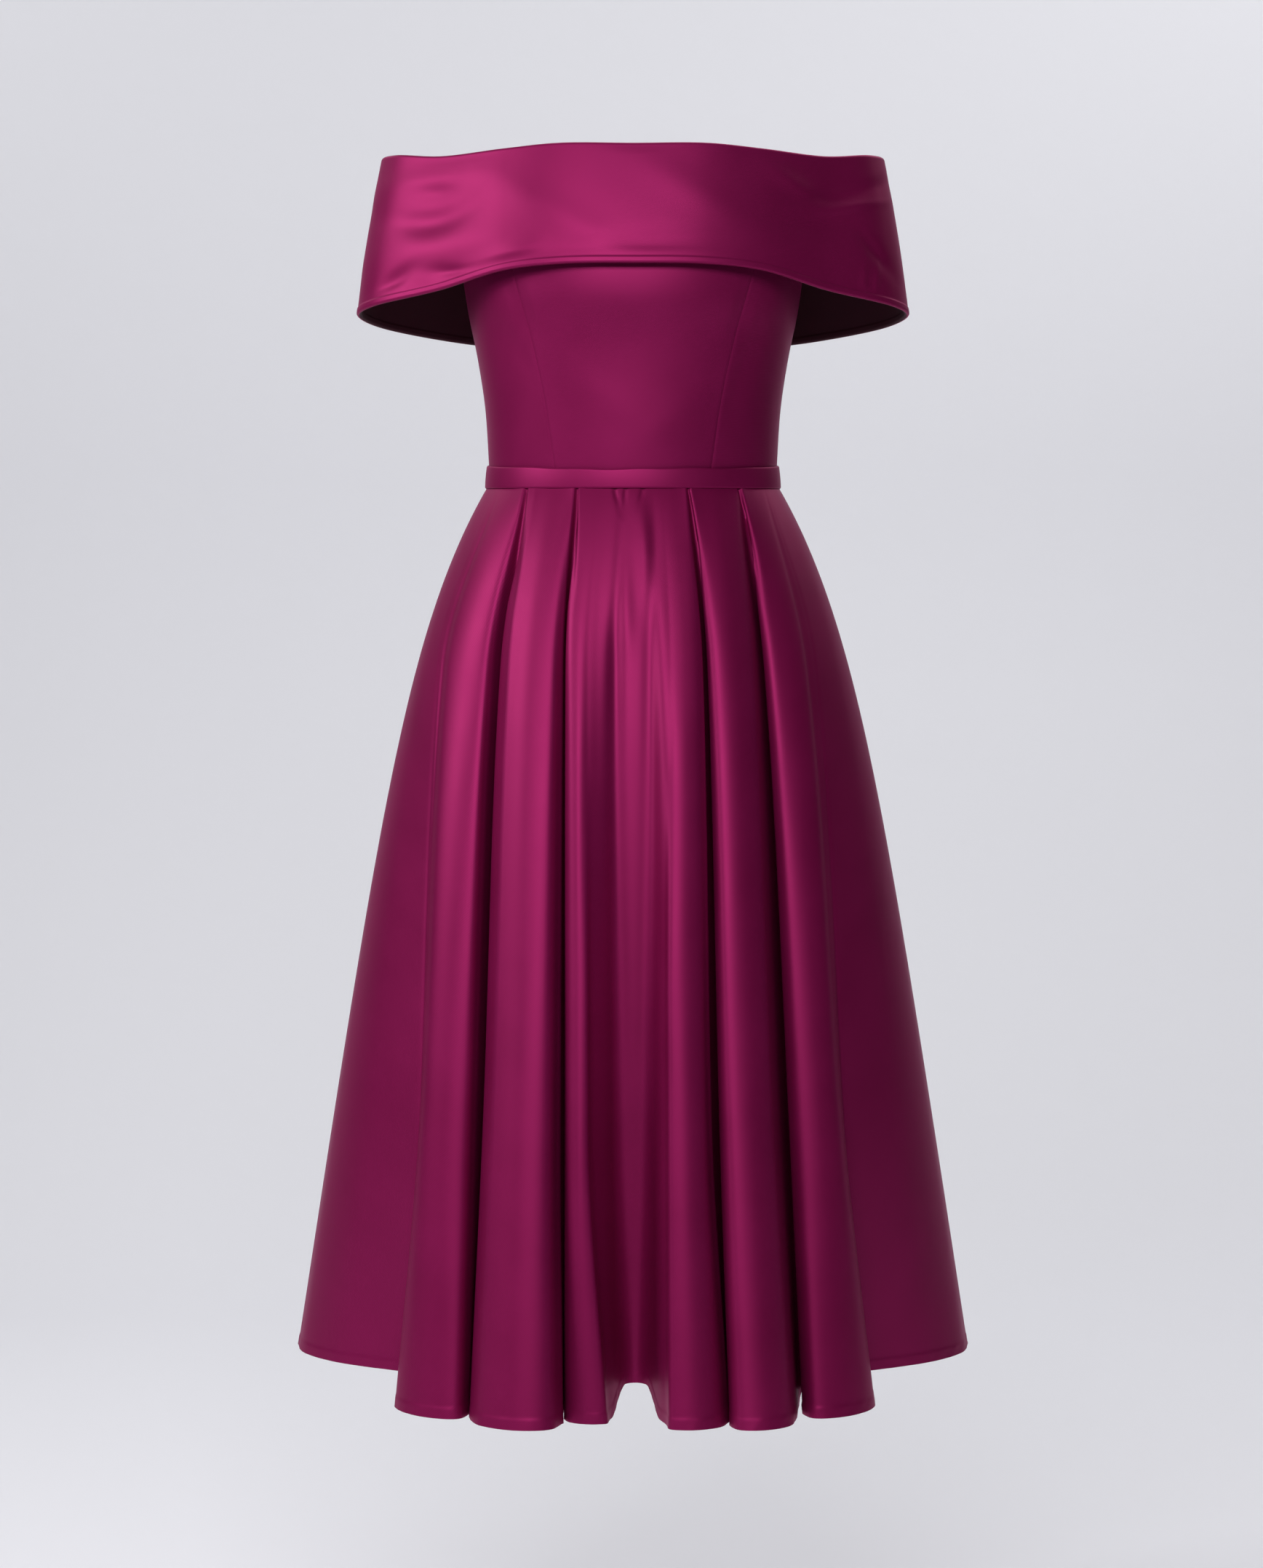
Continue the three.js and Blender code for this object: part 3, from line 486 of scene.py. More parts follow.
def soft_marks(x, z, marks):
    """Listed soft ridges and troughs: height times a bell across a line times a bell along it.
    Each line has its middle at x, z, turns by angle degrees from level, and bends by bend at its ends."""
    total = np.zeros_like(x)
    for mark in marks:
        angle = math.radians(mark["angle"])
        right = x - mark["x"]
        up = z - mark["z"]
        length = (right * math.cos(angle) + up * math.sin(angle)) / mark["length"]
        across = up * math.cos(angle) - right * math.sin(angle) - mark.get("bend", 0) * length**2
        total += mark["height"] * np.exp(-((across / mark["width"]) ** 2) - length**2)
    return total


BODICE_MARKS = [
    {"x": 0, "z": 128, "angle": 0, "length": 130, "width": 20, "height": 2.7},
    {"x": 0, "z": 72, "angle": 0, "length": 130, "width": 26, "height": -0.4},
    {"x": 112, "z": 120, "angle": 75, "length": 60, "width": 9, "height": 0.8},
    {"x": 96, "z": 90, "angle": 62, "length": 55, "width": 10, "height": -0.7},
    {"x": -112, "z": 140, "angle": -68, "length": 60, "width": 11, "height": 0.8},
    {"x": -92, "z": 95, "angle": -52, "length": 45, "width": 8, "height": -0.6},
    {"x": -30, "z": 60, "angle": -38, "length": 70, "width": 13, "height": 0.4},
    {"x": 40, "z": 44, "angle": 35, "length": 60, "width": 12, "height": 0.3},
]
BACK_MARKS = [
    {"x": 0, "z": 60, "angle": 8, "length": 70, "width": 12, "height": 0.8},
    {"x": -60, "z": 110, "angle": 55, "length": 60, "width": 11, "height": 0.7},
    {"x": 66, "z": 96, "angle": -58, "length": 55, "width": 10, "height": 0.7},
    {"x": 10, "z": 150, "angle": -6, "length": 80, "width": 16, "height": -0.6},
]


def bodice_panel(name, side, shares, across, top, marks, darts=False):
    """A bodice panel. across gives x for a share at heights z, and top the height of its top edge."""
    down = np.linspace(0, 1, BODICE_ROWS)[None, :]
    share = shares[:, None]
    foot_x = across(share, np.full_like(share, BODICE_HEM))
    foot = bodice_face(foot_x, np.full_like(share, BODICE_HEM), side)
    hem = BODICE_HEM - waist_dip(foot[..., 1], WAISTBAND["top"]["dip"])
    z = top(share) * (1 - down) + hem * down
    x = across(share, z)
    face = bodice_face(x, z, side)
    normal = bodice_normal(face, side)
    distance = along(face, 0)
    to_edge = np.minimum(distance, distance[-1:] - distance)
    lift = -seam_dip(to_edge)
    calm = eased(to_edge / MARKS_FADE["seam"])
    calm = calm * eased((top(share) - z) / MARKS_FADE["top"]) * eased((z - hem) / MARKS_FADE["hem"])
    lift = lift + calm * soft_marks(x, z, marks)
    if darts:
        for sign in (-1, 1):
            column = np.argmin(np.abs(shares - sign * DART["share"]))
            off = np.abs(distance - distance[column : column + 1])
            shown = eased((DART["top"] - z) / DART["fade"])
            lift = lift - DART["depth"] * shown * bell(off / DART["width"])
    below_top = along(face, 1)
    roll = eased(1 - (below_top - TURNED_EDGE["width"]) / TURNED_EDGE["ease"])
    thickness = CLOTH + (TURNED_EDGE["thickness"] - CLOTH) * roll
    outer = face + normal * lift[..., None]
    inner = outer - normal * thickness[..., None]
    keep_to_half((outer, inner), FACING[side], SEAM_GAP / 2 * (np.abs(x) > SIDE_FROM))
    return shell(name, outer, inner, SATIN)


def front_centre():
    across = lambda share, z: share * (bodice_section(z)["seam"] - SEAM_GAP / 2)
    top = lambda share: np.full_like(share, NECKLINE)
    shares = np.linspace(-1, 1, BODICE_COLUMNS["centre"])
    return bodice_panel("front_panel", "front", shares, across, top, BODICE_MARKS)


def front_side(name, sign):
    """The share runs from 0 at the princess seam to 1 at the side seam, as an angle round the section."""

    def across(share, z):
        s = bodice_section(z)
        start = np.arccos(((s["seam"] + SEAM_GAP / 2) / s["half"]) ** (s["power"] / 2))
        return sign * s["half"] * np.maximum(np.cos(start * (1 - share)), 0) ** (2 / s["power"])

    shares = np.linspace(0, 1, BODICE_COLUMNS["side"])
    if sign < 0:
        shares = shares[::-1]
    return bodice_panel(name, "front", shares, across, armhole, BODICE_MARKS)


def bodice_back():
    def across(share, z):
        s = bodice_section(z)
        angle = (1 - np.abs(share)) * math.pi / 2
        return np.sign(share) * s["half"] * np.maximum(np.cos(angle), 0) ** (2 / s["power"])

    top = lambda share: armhole(np.clip(2 * np.abs(share) - 1, 0, 1))
    shares = np.linspace(1, -1, BODICE_COLUMNS["back"])
    return bodice_panel("back_panel", "back", shares, across, top, BACK_MARKS, darts=True)


# Waistband


def top_wave(x):
    """How far the waistband's top edge wanders up and down: a long wave and a short one."""
    return sum(w["height"] * np.sin(x / w["length"] + w["start"]) for w in WAISTBAND["waves"])


def rounded(distance, reach, least=0.02):
    """The share of its thickness that a wall has at a distance from a folded edge: a quarter circle
    that is complete at reach. least is the square of the smallest share."""
    return np.sqrt(np.clip(1 - (1 - np.clip(distance / reach, 0, 1)) ** 2, least, 1))


def waistband_half(name, side):
    """Half of the doubled waistband: elliptical levels between its top and bottom, a little crowned,
    with rounded folds along both edges."""
    facing = FACING[side]
    angle = np.linspace(0, math.pi, WAISTBAND["columns"])[:, None]
    turn = np.linspace(0, math.pi, WAISTBAND["rows"])[None, :]
    down = (1 - np.cos(turn)) / 2
    top, bottom = WAISTBAND["top"], WAISTBAND["bottom"]
    level = lambda key: top[key] + (bottom[key] - top[key]) * down
    x = facing * level("half") * np.cos(angle)
    y = facing * level(side) * np.sin(angle)
    normal = unit(np.stack([x / level("half") ** 2, y / level(side) ** 2, 0 * x], axis=-1))
    high = top["z"] - waist_dip(y, top["dip"]) + top_wave(x)
    low = bottom["z"] - waist_dip(y, bottom["dip"])
    z = high + (low - high) * down
    edge = np.minimum(down, 1 - down) * (high - low)
    thickness = WAISTBAND["thickness"] * rounded(edge, WAISTBAND["fold"], least=0.03)
    middle = np.stack([x, y, z], axis=-1) - normal * WAISTBAND["thickness"] / 2
    crown = WAISTBAND["crown"] * np.sin(turn) ** 2 * np.ones_like(x)
    outer = middle + normal * (thickness / 2 + crown)[..., None]
    inner = middle - normal * (thickness / 2)[..., None]
    keep_to_half((outer, inner), facing, SEAM_GAP / 2)
    return shell(name, outer, inner, SATIN)


# Shoulder band


BAND_MARKS = [
    {"x": -166, "z": 204, "angle": 3, "length": 34, "width": 11, "height": -2.4, "bend": 7},
    {"x": -163, "z": 229, "angle": -8, "length": 18, "width": 8, "height": -1},
    {"x": -165, "z": 240, "angle": 0, "length": 42, "width": 11, "height": 1.3},
    {"x": -160, "z": 182, "angle": 4, "length": 50, "width": 16, "height": 2.3},
    {"x": -198, "z": 158, "angle": 30, "length": 17, "width": 7, "height": -1.7},
    {"x": -146, "z": 159, "angle": -10, "length": 20, "width": 6, "height": -1.5},
    {"x": -95, "z": 172, "angle": 12, "length": 22, "width": 8, "height": 1.4},
    {"x": -60, "z": 200, "angle": -32, "length": 70, "width": 14, "height": 1},
    {"x": 20, "z": 178, "angle": 4, "length": 90, "width": 10, "height": -1},
    {"x": 60, "z": 214, "angle": -30, "length": 70, "width": 15, "height": 0.9},
    {"x": 172, "z": 229, "angle": 18, "length": 30, "width": 6, "height": -2.7, "bend": 2},
    {"x": 133, "z": 232, "angle": -30, "length": 22, "width": 8, "height": 1.6},
    {"x": 153, "z": 202, "angle": 8, "length": 32, "width": 9, "height": -1.9},
    {"x": 180, "z": 219, "angle": 18, "length": 24, "width": 4, "height": 1.5},
    {"x": 203, "z": 182, "angle": -50, "length": 20, "width": 6, "height": -1.7},
    {"x": 191, "z": 150, "angle": 86, "length": 20, "width": 2.6, "height": 0.9},
    {"x": 202, "z": 152, "angle": 84, "length": 22, "width": 2.4, "height": 0.8},
]
BAND_BACK_MARKS = [
    {"x": -150, "z": 214, "angle": 14, "length": 46, "width": 10, "height": -2},
    {"x": -90, "z": 180, "angle": -24, "length": 60, "width": 13, "height": 1.2},
    {"x": 0, "z": 206, "angle": 5, "length": 80, "width": 14, "height": 1},
    {"x": 96, "z": 190, "angle": 26, "length": 60, "width": 12, "height": 1.2},
    {"x": 160, "z": 218, "angle": -12, "length": 44, "width": 9, "height": -2},
    {"x": 186, "z": 176, "angle": 66, "length": 36, "width": 8, "height": 1.2},
]


def band_half(name, first, last, marks):
    """Half of the doubled band, between its top and bottom folds: straight across, swollen by the
    belly, soft marks in the outer face, and a rolled lip along the bottom fold."""
    mirrored = lambda key, sign: np.concatenate([BAND[key], sign * np.array(BAND[key][-2:0:-1])])
    ring = lambda level: np.stack(
        [mirrored(level + "_x", -1), mirrored(level + "_y", 1), mirrored(level + "_z", 1)], axis=-1
    )
    inset = SEAM_GAP / 2 / BAND_SEAM_STEP
    places = np.linspace(first + inset, last - inset, BAND_COLUMNS)
    top = curve_at(ring("top"), places, closed=True)[:, None, :]
    bottom = curve_at(ring("bottom"), places, closed=True)[:, None, :]
    down = ((1 - np.cos(np.linspace(0, math.pi, BAND_ROWS))) / 2)[None, :, None]
    middle = top + (bottom - top) * down
    tangent = np.gradient(middle, axis=0)
    normal = unit(np.stack([tangent[..., 1], -tangent[..., 0], 0 * tangent[..., 0]], axis=-1))
    middle = middle + normal * BAND_BELLY * np.sin(math.pi * down)
    from_top = along(middle, 1)
    from_bottom = from_top[:, -1:] - from_top
    above_lip = from_bottom - BAND_LIP["width"]
    wall = BAND_WALL * rounded(from_top, BAND_ROUND) * rounded(from_bottom, BAND_ROUND)
    lip = (BAND_LIP["thickness"] - BAND_WALL) * eased(1 - above_lip / BAND_LIP["ease"])
    thickness = wall + lip * rounded(from_bottom, BAND_LIP["round"])
    calm = eased(from_top / BAND_MARKS_FADE) * eased(above_lip / BAND_MARKS_FADE)
    lift = calm * soft_marks(middle[..., 0], middle[..., 2], marks)
    outer = middle + normal * (thickness / 2 + lift)[..., None]
    inner = middle + normal * (np.minimum(lift, 0) - thickness / 2)[..., None]
    return shell(name, outer, inner, SATIN_BAND)


# Skirt


def flared(drops):
    """How far the skirt has spread to each side at each drop."""
    return FLARE["straight"] * drops + FLARE["hip"] * (1 - np.exp(-drops / FLARE["hip_length"]))


def skirt_plan(side, drops):
    """The smooth plan at each drop, as x and distance from the X axis, with the column of each
    fold's points. It runs from x = -half to x = +half through the points of panels, valleys and
    folds: a fold's points lie on the envelope, less fall times (1 - cosine) of their angle."""
    flare = flared(drops)
    half = SKIRT_WAIST["half"] + flare
    depth = side["depth"] + side["share"] * flare
    envelope = lambda x: depth * np.sqrt(np.maximum(0, 1 - (x / half) ** 2))
    keys = ("left", "right", "fall", "lean", "crest", "valley", "gap", "low")
    table = {k: smooth(STATIONS, side[k], drops) for k in keys}
    squared = lambda value: np.sign(value) * abs(value) ** (2 / FOLD_SQUARENESS)
    points = []
    steps = []
    folds = {}

    def add(x, y, count):
        points.append(np.stack([x, y], axis=-1))
        steps.append(count)

    def panel(valley, sign):
        edge = table["valley"][valley] + sign * table["gap"][valley]
        end = np.arcsin(np.clip(envelope(edge) / depth, 0, 1))
        drawn = edge - sign * half * np.cos(end)
        return [
            (sign * half * np.cos(end * s) + drawn * s * s, depth * table["low"][valley] * np.sin(end * s))
            for s in PANEL_SHARES
        ]

    for x, y in panel(0, -1):
        add(x, y, STEPS["panel"])
    fold_count = len(side["left"])
    for i in range(fold_count + 1):
        middle, gap, low = (table[k][i] for k in ("valley", "gap", "low"))
        add(middle - gap, envelope(middle - gap) * low, STEPS["gap"])
        last = i == fold_count
        add(middle + gap, envelope(middle + gap) * low, STEPS["panel"] if last else STEPS["side"])
        if last:
            break
        left, right, fall, lean, crest = (table[k][i] for k in keys[:5])
        centre = (left + right) / 2
        lift = envelope(centre) * (crest - 1)
        for angle in FOLD_ANGLES:
            folds[(i, angle)] = len(points)
            turned = squared(math.sin(math.radians(angle)))
            forward = squared(math.cos(math.radians(angle)))
            x = centre + (right - left) / 2 * turned
            count = STEPS["side"] if angle == FOLD_ANGLES[-1] else STEPS["fold"]
            add(x, envelope(x) + lift - fall * (1 - forward) - lean * turned, count)
    for x, y in reversed(panel(fold_count, 1)):
        add(x, y, STEPS["panel"])
    steps = steps[:-1]
    places = np.concatenate([i + np.arange(n) / n for i, n in enumerate(steps)] + [[len(steps)]])
    starts = np.concatenate([[0], np.cumsum(steps)])
    columns = {key: starts[i] for key, i in folds.items()}
    return curve_at(np.stack(points), places), columns


def softened(plan, first, last, strength):
    """The plan with its columns from first to last eased: each becomes a bell-weighted mean of its
    neighbours, at the given strength for each row, and less so beyond first and last."""
    reach = SOFT_MIDDLE["reach"]
    number = np.arange(len(plan))
    share = eased(1 - np.maximum(first - number, number - last) / reach)[:, None] * strength
    offsets = np.arange(-2 * reach, 2 * reach + 1)
    weights = bell(offsets / reach)
    places = np.clip(number[:, None] + offsets[None, :], 0, len(plan) - 1)
    mean = np.einsum("k,ikrc->irc", weights / weights.sum(), plan[places])
    return plan + (mean - plan) * share[..., None]


def skirt_drops():
    """Distances down from the waist seam, close together at the gathers and at the hem."""
    limits = [0, SKIRT_ROWS["gathers_to"], SKIRT_ROWS["hem_from"], SKIRT_LENGTH]
    parts = [np.linspace(a, b, n)[:-1] for a, b, n in zip(limits, limits[1:], SKIRT_ROWS["counts"])]
    return np.concatenate([*parts, [SKIRT_LENGTH]])


def hem_lift(foot, recess):
    """How far the hem rises at the plan's lowest row: beside the side seams, and in the recess."""
    lift = eased((HEM_LIFT["from"] - foot[..., 1]) / (HEM_LIFT["from"] - HEM_LIFT["to"]))
    if recess:
        off = np.abs(foot[..., 0] - recess["middle"])
        lift = np.maximum(lift, eased((recess["reach"] - off) / recess["ease"]))
    return HEM_LIFT["most"] * lift


def skirt_half(name, side, creases, runs, material):
    """Half of the skirt: its plan carried down from the waist seam, with creases, soft runs, seams that
    sink in and a turned hem. A crease is height times exp(-distance / width) along the cloth, and a
    run is height times a bell across x."""
    facing = side["facing"]
    drops = skirt_drops()
    plan, columns = skirt_plan(side, drops)
    if facing < 0:
        high = eased((SOFT_MIDDLE["to"] - drops) / (SOFT_MIDDLE["to"] - SOFT_MIDDLE["from"]))
        for _ in range(SOFT_MIDDLE["passes"]):
            plan = softened(plan, columns[(2, 90)], columns[(4, -90)], np.ones(len(drops)))
        plan = softened(plan, columns[(2, 45)], columns[(4, -45)], high)
    share = drops / SKIRT_LENGTH
    lift = hem_lift(plan[:, -1:], side["recess"])
    dip = waist_dip(facing * plan[:, :1, 1], SKIRT_WAIST["dip"]) * (1 - share)
    z = SKIRT_TOP - drops - dip + lift * share
    grid = np.stack([plan[..., 0], facing * plan[..., 1], z], axis=-1)
    if facing > 0:
        grid = grid[::-1]
        columns = {key: len(grid) - 1 - c for key, c in columns.items()}
    normal = outward(grid)
    distance = along(grid, 0)
    raised = np.zeros(distance.shape)
    for crease in creases:
        column = columns[(crease["fold"], crease["angle"])]
        off = np.abs(distance - distance[column : column + 1])
        raised += smooth(STATIONS, crease["height"], drops) * np.exp(-off / crease["width"])
    for run in runs:
        x, height, width = smooth(run["down"], [run["x"], run["height"], run["width"]], drops)
        height = np.where(drops > run["down"][-1], 0, height)
        raised += height * bell((grid[..., 0] - x) / width)
    to_seam = np.minimum(distance, distance[-1:] - distance)
    raised *= eased(to_seam / FOLDS_FADE)
    raised -= seam_dip(to_seam)
    to_hem = SKIRT_LENGTH - drops
    turned = eased(1 - (to_hem - HEM["width"]) / HEM["ease"])
    thickness = CLOTH + (HEM["thickness"] - CLOTH) * turned
    pucker = PUCKER["height"] * np.sin(distance / PUCKER["short"]) * np.sin(distance / PUCKER["long"] + 1)
    raised = raised + (HEM["step"] + pucker) * turned
    outer = grid + normal * raised[..., None]
    inner = outer - normal * thickness[None, :, None]
    keep_to_half((outer, inner), facing, SEAM_GAP / 2)
    return shell(name, outer, inner, material)


# Zip


ZIP = {"half": 3, "tape": 0.4, "clearance": 0.45, "skirt": 175, "top": 188.5, "rows": 90, "columns": 13}
TAPE_SUNK = {"bodice": 1.6, "skirt": 1.2}  # the wall's thickness that the tape lies behind

# The coil: from turn to turn, half a turn's span across the tape, how far a turn is set to its own
# side, its height, how far its foot is sunk, the wire's radius, how the wire is flattened, how far
# the coil keeps from the tape's ends, and the points along a turn and round the wire.
COIL = {
    "pitch": 1.5,
    "half": 1.054,
    "shift": 0.25,
    "height": 0.42,
    "sunk": 0.198,
    "wire": 0.33,
    "flat_x": 0.9,
    "flat_y": 0.5,
    "end": 2,
    "steps": 7,
    "corners": 6,
}


def zip_line():
    """Points of the zip's outer face down the left side seam: x and z."""
    z = np.linspace(ZIP["top"], BODICE_HEM, ZIP["rows"])
    bodice = np.stack([bodice_section(z)["half"] - TAPE_SUNK["bodice"], z], axis=-1)
    drop = np.linspace(0, ZIP["skirt"], ZIP["rows"])
    level = SKIRT_TOP - drop + HEM_LIFT["most"] * drop / SKIRT_LENGTH
    skirt = np.stack([SKIRT_WAIST["half"] + flared(drop) - TAPE_SUNK["skirt"], level], axis=-1)
    line = np.concatenate([bodice, skirt])
    line[:, 0] -= ZIP["clearance"]
    return line


def zip_tape(line):
    """The tape: a flat ribbon along the line."""
    across = np.linspace(-ZIP["half"], ZIP["half"], ZIP["columns"])[:, None]
    ones = np.ones_like(across)
    outer = np.stack([ones * line[:, 0], across * np.ones(len(line)), ones * line[:, 1]], axis=-1)
    return shell("zip_tape", outer, outer - np.array([ZIP["tape"], 0, 0]), TAPE)


def zip_coil(line):
    """The coil: a small arch of wire across the tape at each turn, set to the left and to the right by
    turns. A turn follows half an ellipse, and the wire is a ring of points round it."""
    length = np.concatenate([[0], np.cumsum(np.linalg.norm(np.diff(line, axis=0), axis=1))])
    turns = np.arange(COIL["end"], length[-1] - COIL["end"], COIL["pitch"])[:, None, None]
    arch = np.linspace(0, math.pi, COIL["steps"])[None, :, None]
    ring = np.linspace(0, 2 * math.pi, COIL["corners"] + 1)[None, None, :-1]
    side = np.where(np.arange(len(turns)) % 2 == 0, 1.0, -1.0)[:, None, None]
    wire = COIL["wire"] * np.cos(ring)
    off_x = -COIL["height"] * np.sin(arch) - COIL["sunk"] - COIL["flat_x"] * wire * np.sin(arch)
    off_y = side * (COIL["half"] * np.cos(arch) + COIL["shift"] + COIL["flat_y"] * wire * np.cos(arch))
    off_z = COIL["wire"] * np.sin(ring)
    x = np.interp(turns, length, line[:, 0]) - ZIP["tape"] + off_x
    z = np.interp(turns, length, line[:, 1]) + off_z
    points = np.stack(np.broadcast_arrays(x, off_y, z), axis=-1)
    number = np.arange(points[..., 0].size).reshape(points.shape[:3])
    ahead = np.roll(number, -1, axis=2)
    quads = np.stack([number[:, :-1], ahead[:, :-1], ahead[:, 1:], number[:, 1:]], axis=-1).reshape(-1, 4)
    return mesh_piece("zip_coil", points.reshape(-1, 3), quads, np.zeros((number.size, 2)), TAPE)


# Materials


def node(tree, kind, inputs=None, **settings):
    """A new shader node with its settings and its inputs, each an output to link or a value."""
    made = tree.nodes.new(kind)
    for key, value in settings.items():
        setattr(made, key, value)
    for key, value in (inputs or {}).items():
        if isinstance(value, bpy.types.NodeSocket):
            tree.links.new(value, made.inputs[key])
        else:
            made.inputs[key].default_value = value
    return made


TWILL = {"angle": 52, "scale": 290, "distortion": 1.2, "thread_scale": 1400, "thread_share": 0.45}
WEAVE = {"values": (0.2, 0.8), "colour": (0.25, 0.75), "strength": 0.25, "distance": 0.0002}
CLOUD = {"scale": 14, "roughness": 0.55, "values": (0.3, 0.7), "colour": (-0.12, 0.12)}
SATIN_GLOSS = {"roughness": (0.44, 0.49), "metallic": 0.48, "specular": 0.32, "tint": (1, 0.35, 0.6)}
GRAIN = {"scale": 900, "strength": 0.2, "distance": 0.0001, "dark": 0.8, "light": 1.15}


def ranged(tree, value, low, high, to_low, to_high):
    """A node output carried from the range low, high to another range."""
    limits = {"From Min": low, "From Max": high, "To Min": to_low, "To Max": to_high}
    return node(tree, "ShaderNodeMapRange", {"Value": value, **limits}).outputs["Result"]


def mixed(tree, share, first, second):
    """A mix of two node outputs at a share."""
    inputs = {"Factor": share, "A": first, "B": second}
    return node(tree, "ShaderNodeMix", inputs, data_type="FLOAT").outputs["Result"]


def satin(name, dark, light):
    """Satin: a fine diagonal twill in the bump and the colour, uneven in the large, and a soft gloss
    that takes the cloth's own colour."""
    material = bpy.data.materials.new(name)
    material.use_nodes = True
    tree = material.node_tree
    shader = tree.nodes["Principled BSDF"]
    uv = node(tree, "ShaderNodeUVMap", uv_map="cloth").outputs["UV"]
    turn = (0, 0, math.radians(TWILL["angle"]))
    turned = node(tree, "ShaderNodeMapping", {"Vector": uv, "Rotation": turn}).outputs["Vector"]
    ribs = {"Vector": turned, "Scale": TWILL["scale"], "Distortion": TWILL["distortion"]}
    twill = node(tree, "ShaderNodeTexWave", {**ribs, "Detail": 1, "Detail Scale": 3}).outputs["Fac"]
    fine = {"Vector": uv, "Scale": TWILL["thread_scale"], "Detail": 2}
    thread = node(tree, "ShaderNodeTexNoise", fine).outputs["Fac"]
    large = {"Vector": uv, "Scale": CLOUD["scale"], "Detail": 3, "Roughness": CLOUD["roughness"]}
    cloud = node(tree, "ShaderNodeTexNoise", large).outputs["Fac"]
    weave = mixed(tree, TWILL["thread_share"], twill, thread)
    fine_share = ranged(tree, weave, *WEAVE["values"], *WEAVE["colour"])
    share = node(tree, "ShaderNodeMath", {0: fine_share}, use_clamp=True)
    tree.links.new(ranged(tree, cloud, *CLOUD["values"], *CLOUD["colour"]), share.inputs[1])
    colour = node(tree, "ShaderNodeMix", {"Factor": share.outputs["Value"]}, data_type="RGBA")
    colour.inputs["A"].default_value = (*dark, 1)
    colour.inputs["B"].default_value = (*light, 1)
    relief = {"Height": weave, "Strength": WEAVE["strength"], "Distance": WEAVE["distance"]}
    bump = node(tree, "ShaderNodeBump", relief)
    rough = ranged(tree, cloud, *CLOUD["values"], *SATIN_GLOSS["roughness"])
    tree.links.new(colour.outputs["Result"], shader.inputs["Base Color"])
    tree.links.new(rough, shader.inputs["Roughness"])
    tree.links.new(bump.outputs["Normal"], shader.inputs["Normal"])
    shader.inputs["Metallic"].default_value = SATIN_GLOSS["metallic"]
    shader.inputs["Specular IOR Level"].default_value = SATIN_GLOSS["specular"]
    shader.inputs["Specular Tint"].default_value = (*SATIN_GLOSS["tint"], 1)
    return material


def plain(name, colour, roughness, metallic=0.0):
    """A plain finish with a fine grain in its colour and its bump."""
    material = bpy.data.materials.new(name)
    material.use_nodes = True
    tree = material.node_tree
    shader = tree.nodes["Principled BSDF"]
    place = node(tree, "ShaderNodeTexCoord").outputs["Object"]
    noise = {"Vector": place, "Scale": GRAIN["scale"], "Detail": 3}
    grain = node(tree, "ShaderNodeTexNoise", noise).outputs["Fac"]
    relief = {"Height": grain, "Strength": GRAIN["strength"], "Distance": GRAIN["distance"]}
    bump = node(tree, "ShaderNodeBump", relief)
    tone = node(tree, "ShaderNodeMix", {"Factor": grain}, data_type="RGBA")
    tone.inputs["A"].default_value = (*[GRAIN["dark"] * c for c in colour], 1)
    tone.inputs["B"].default_value = (*[min(1, GRAIN["light"] * c) for c in colour], 1)
    tree.links.new(tone.outputs["Result"], shader.inputs["Base Color"])
    tree.links.new(bump.outputs["Normal"], shader.inputs["Normal"])
    shader.inputs["Roughness"].default_value = roughness
    shader.inputs["Metallic"].default_value = metallic
    return material


SATIN = satin("raspberry_satin", (0.175, 0.0045, 0.053), (0.235, 0.0075, 0.078))
SATIN_BAND = satin("raspberry_satin_band", (0.18, 0.0048, 0.055), (0.24, 0.008, 0.08))
SATIN_SKIRT = satin("raspberry_satin_skirt", (0.17, 0.0042, 0.051), (0.23, 0.007, 0.075))
# The satin's wrong side: matt as real satin's is, and near black as painted shade for the shadow on the inner
# faces, the band's inside most of all.
WRONG_SIDE_PAINTED_SHADE = plain("satin_wrong_side_painted_shade", (0.04, 0.0006, 0.01), 0.8)
TAPE = plain("zip_tape_weave", (0.09, 0.003, 0.03), 0.8)
ENAMEL = plain("zip_enamel", (0.3, 0.02, 0.12), 0.3, 0.7)

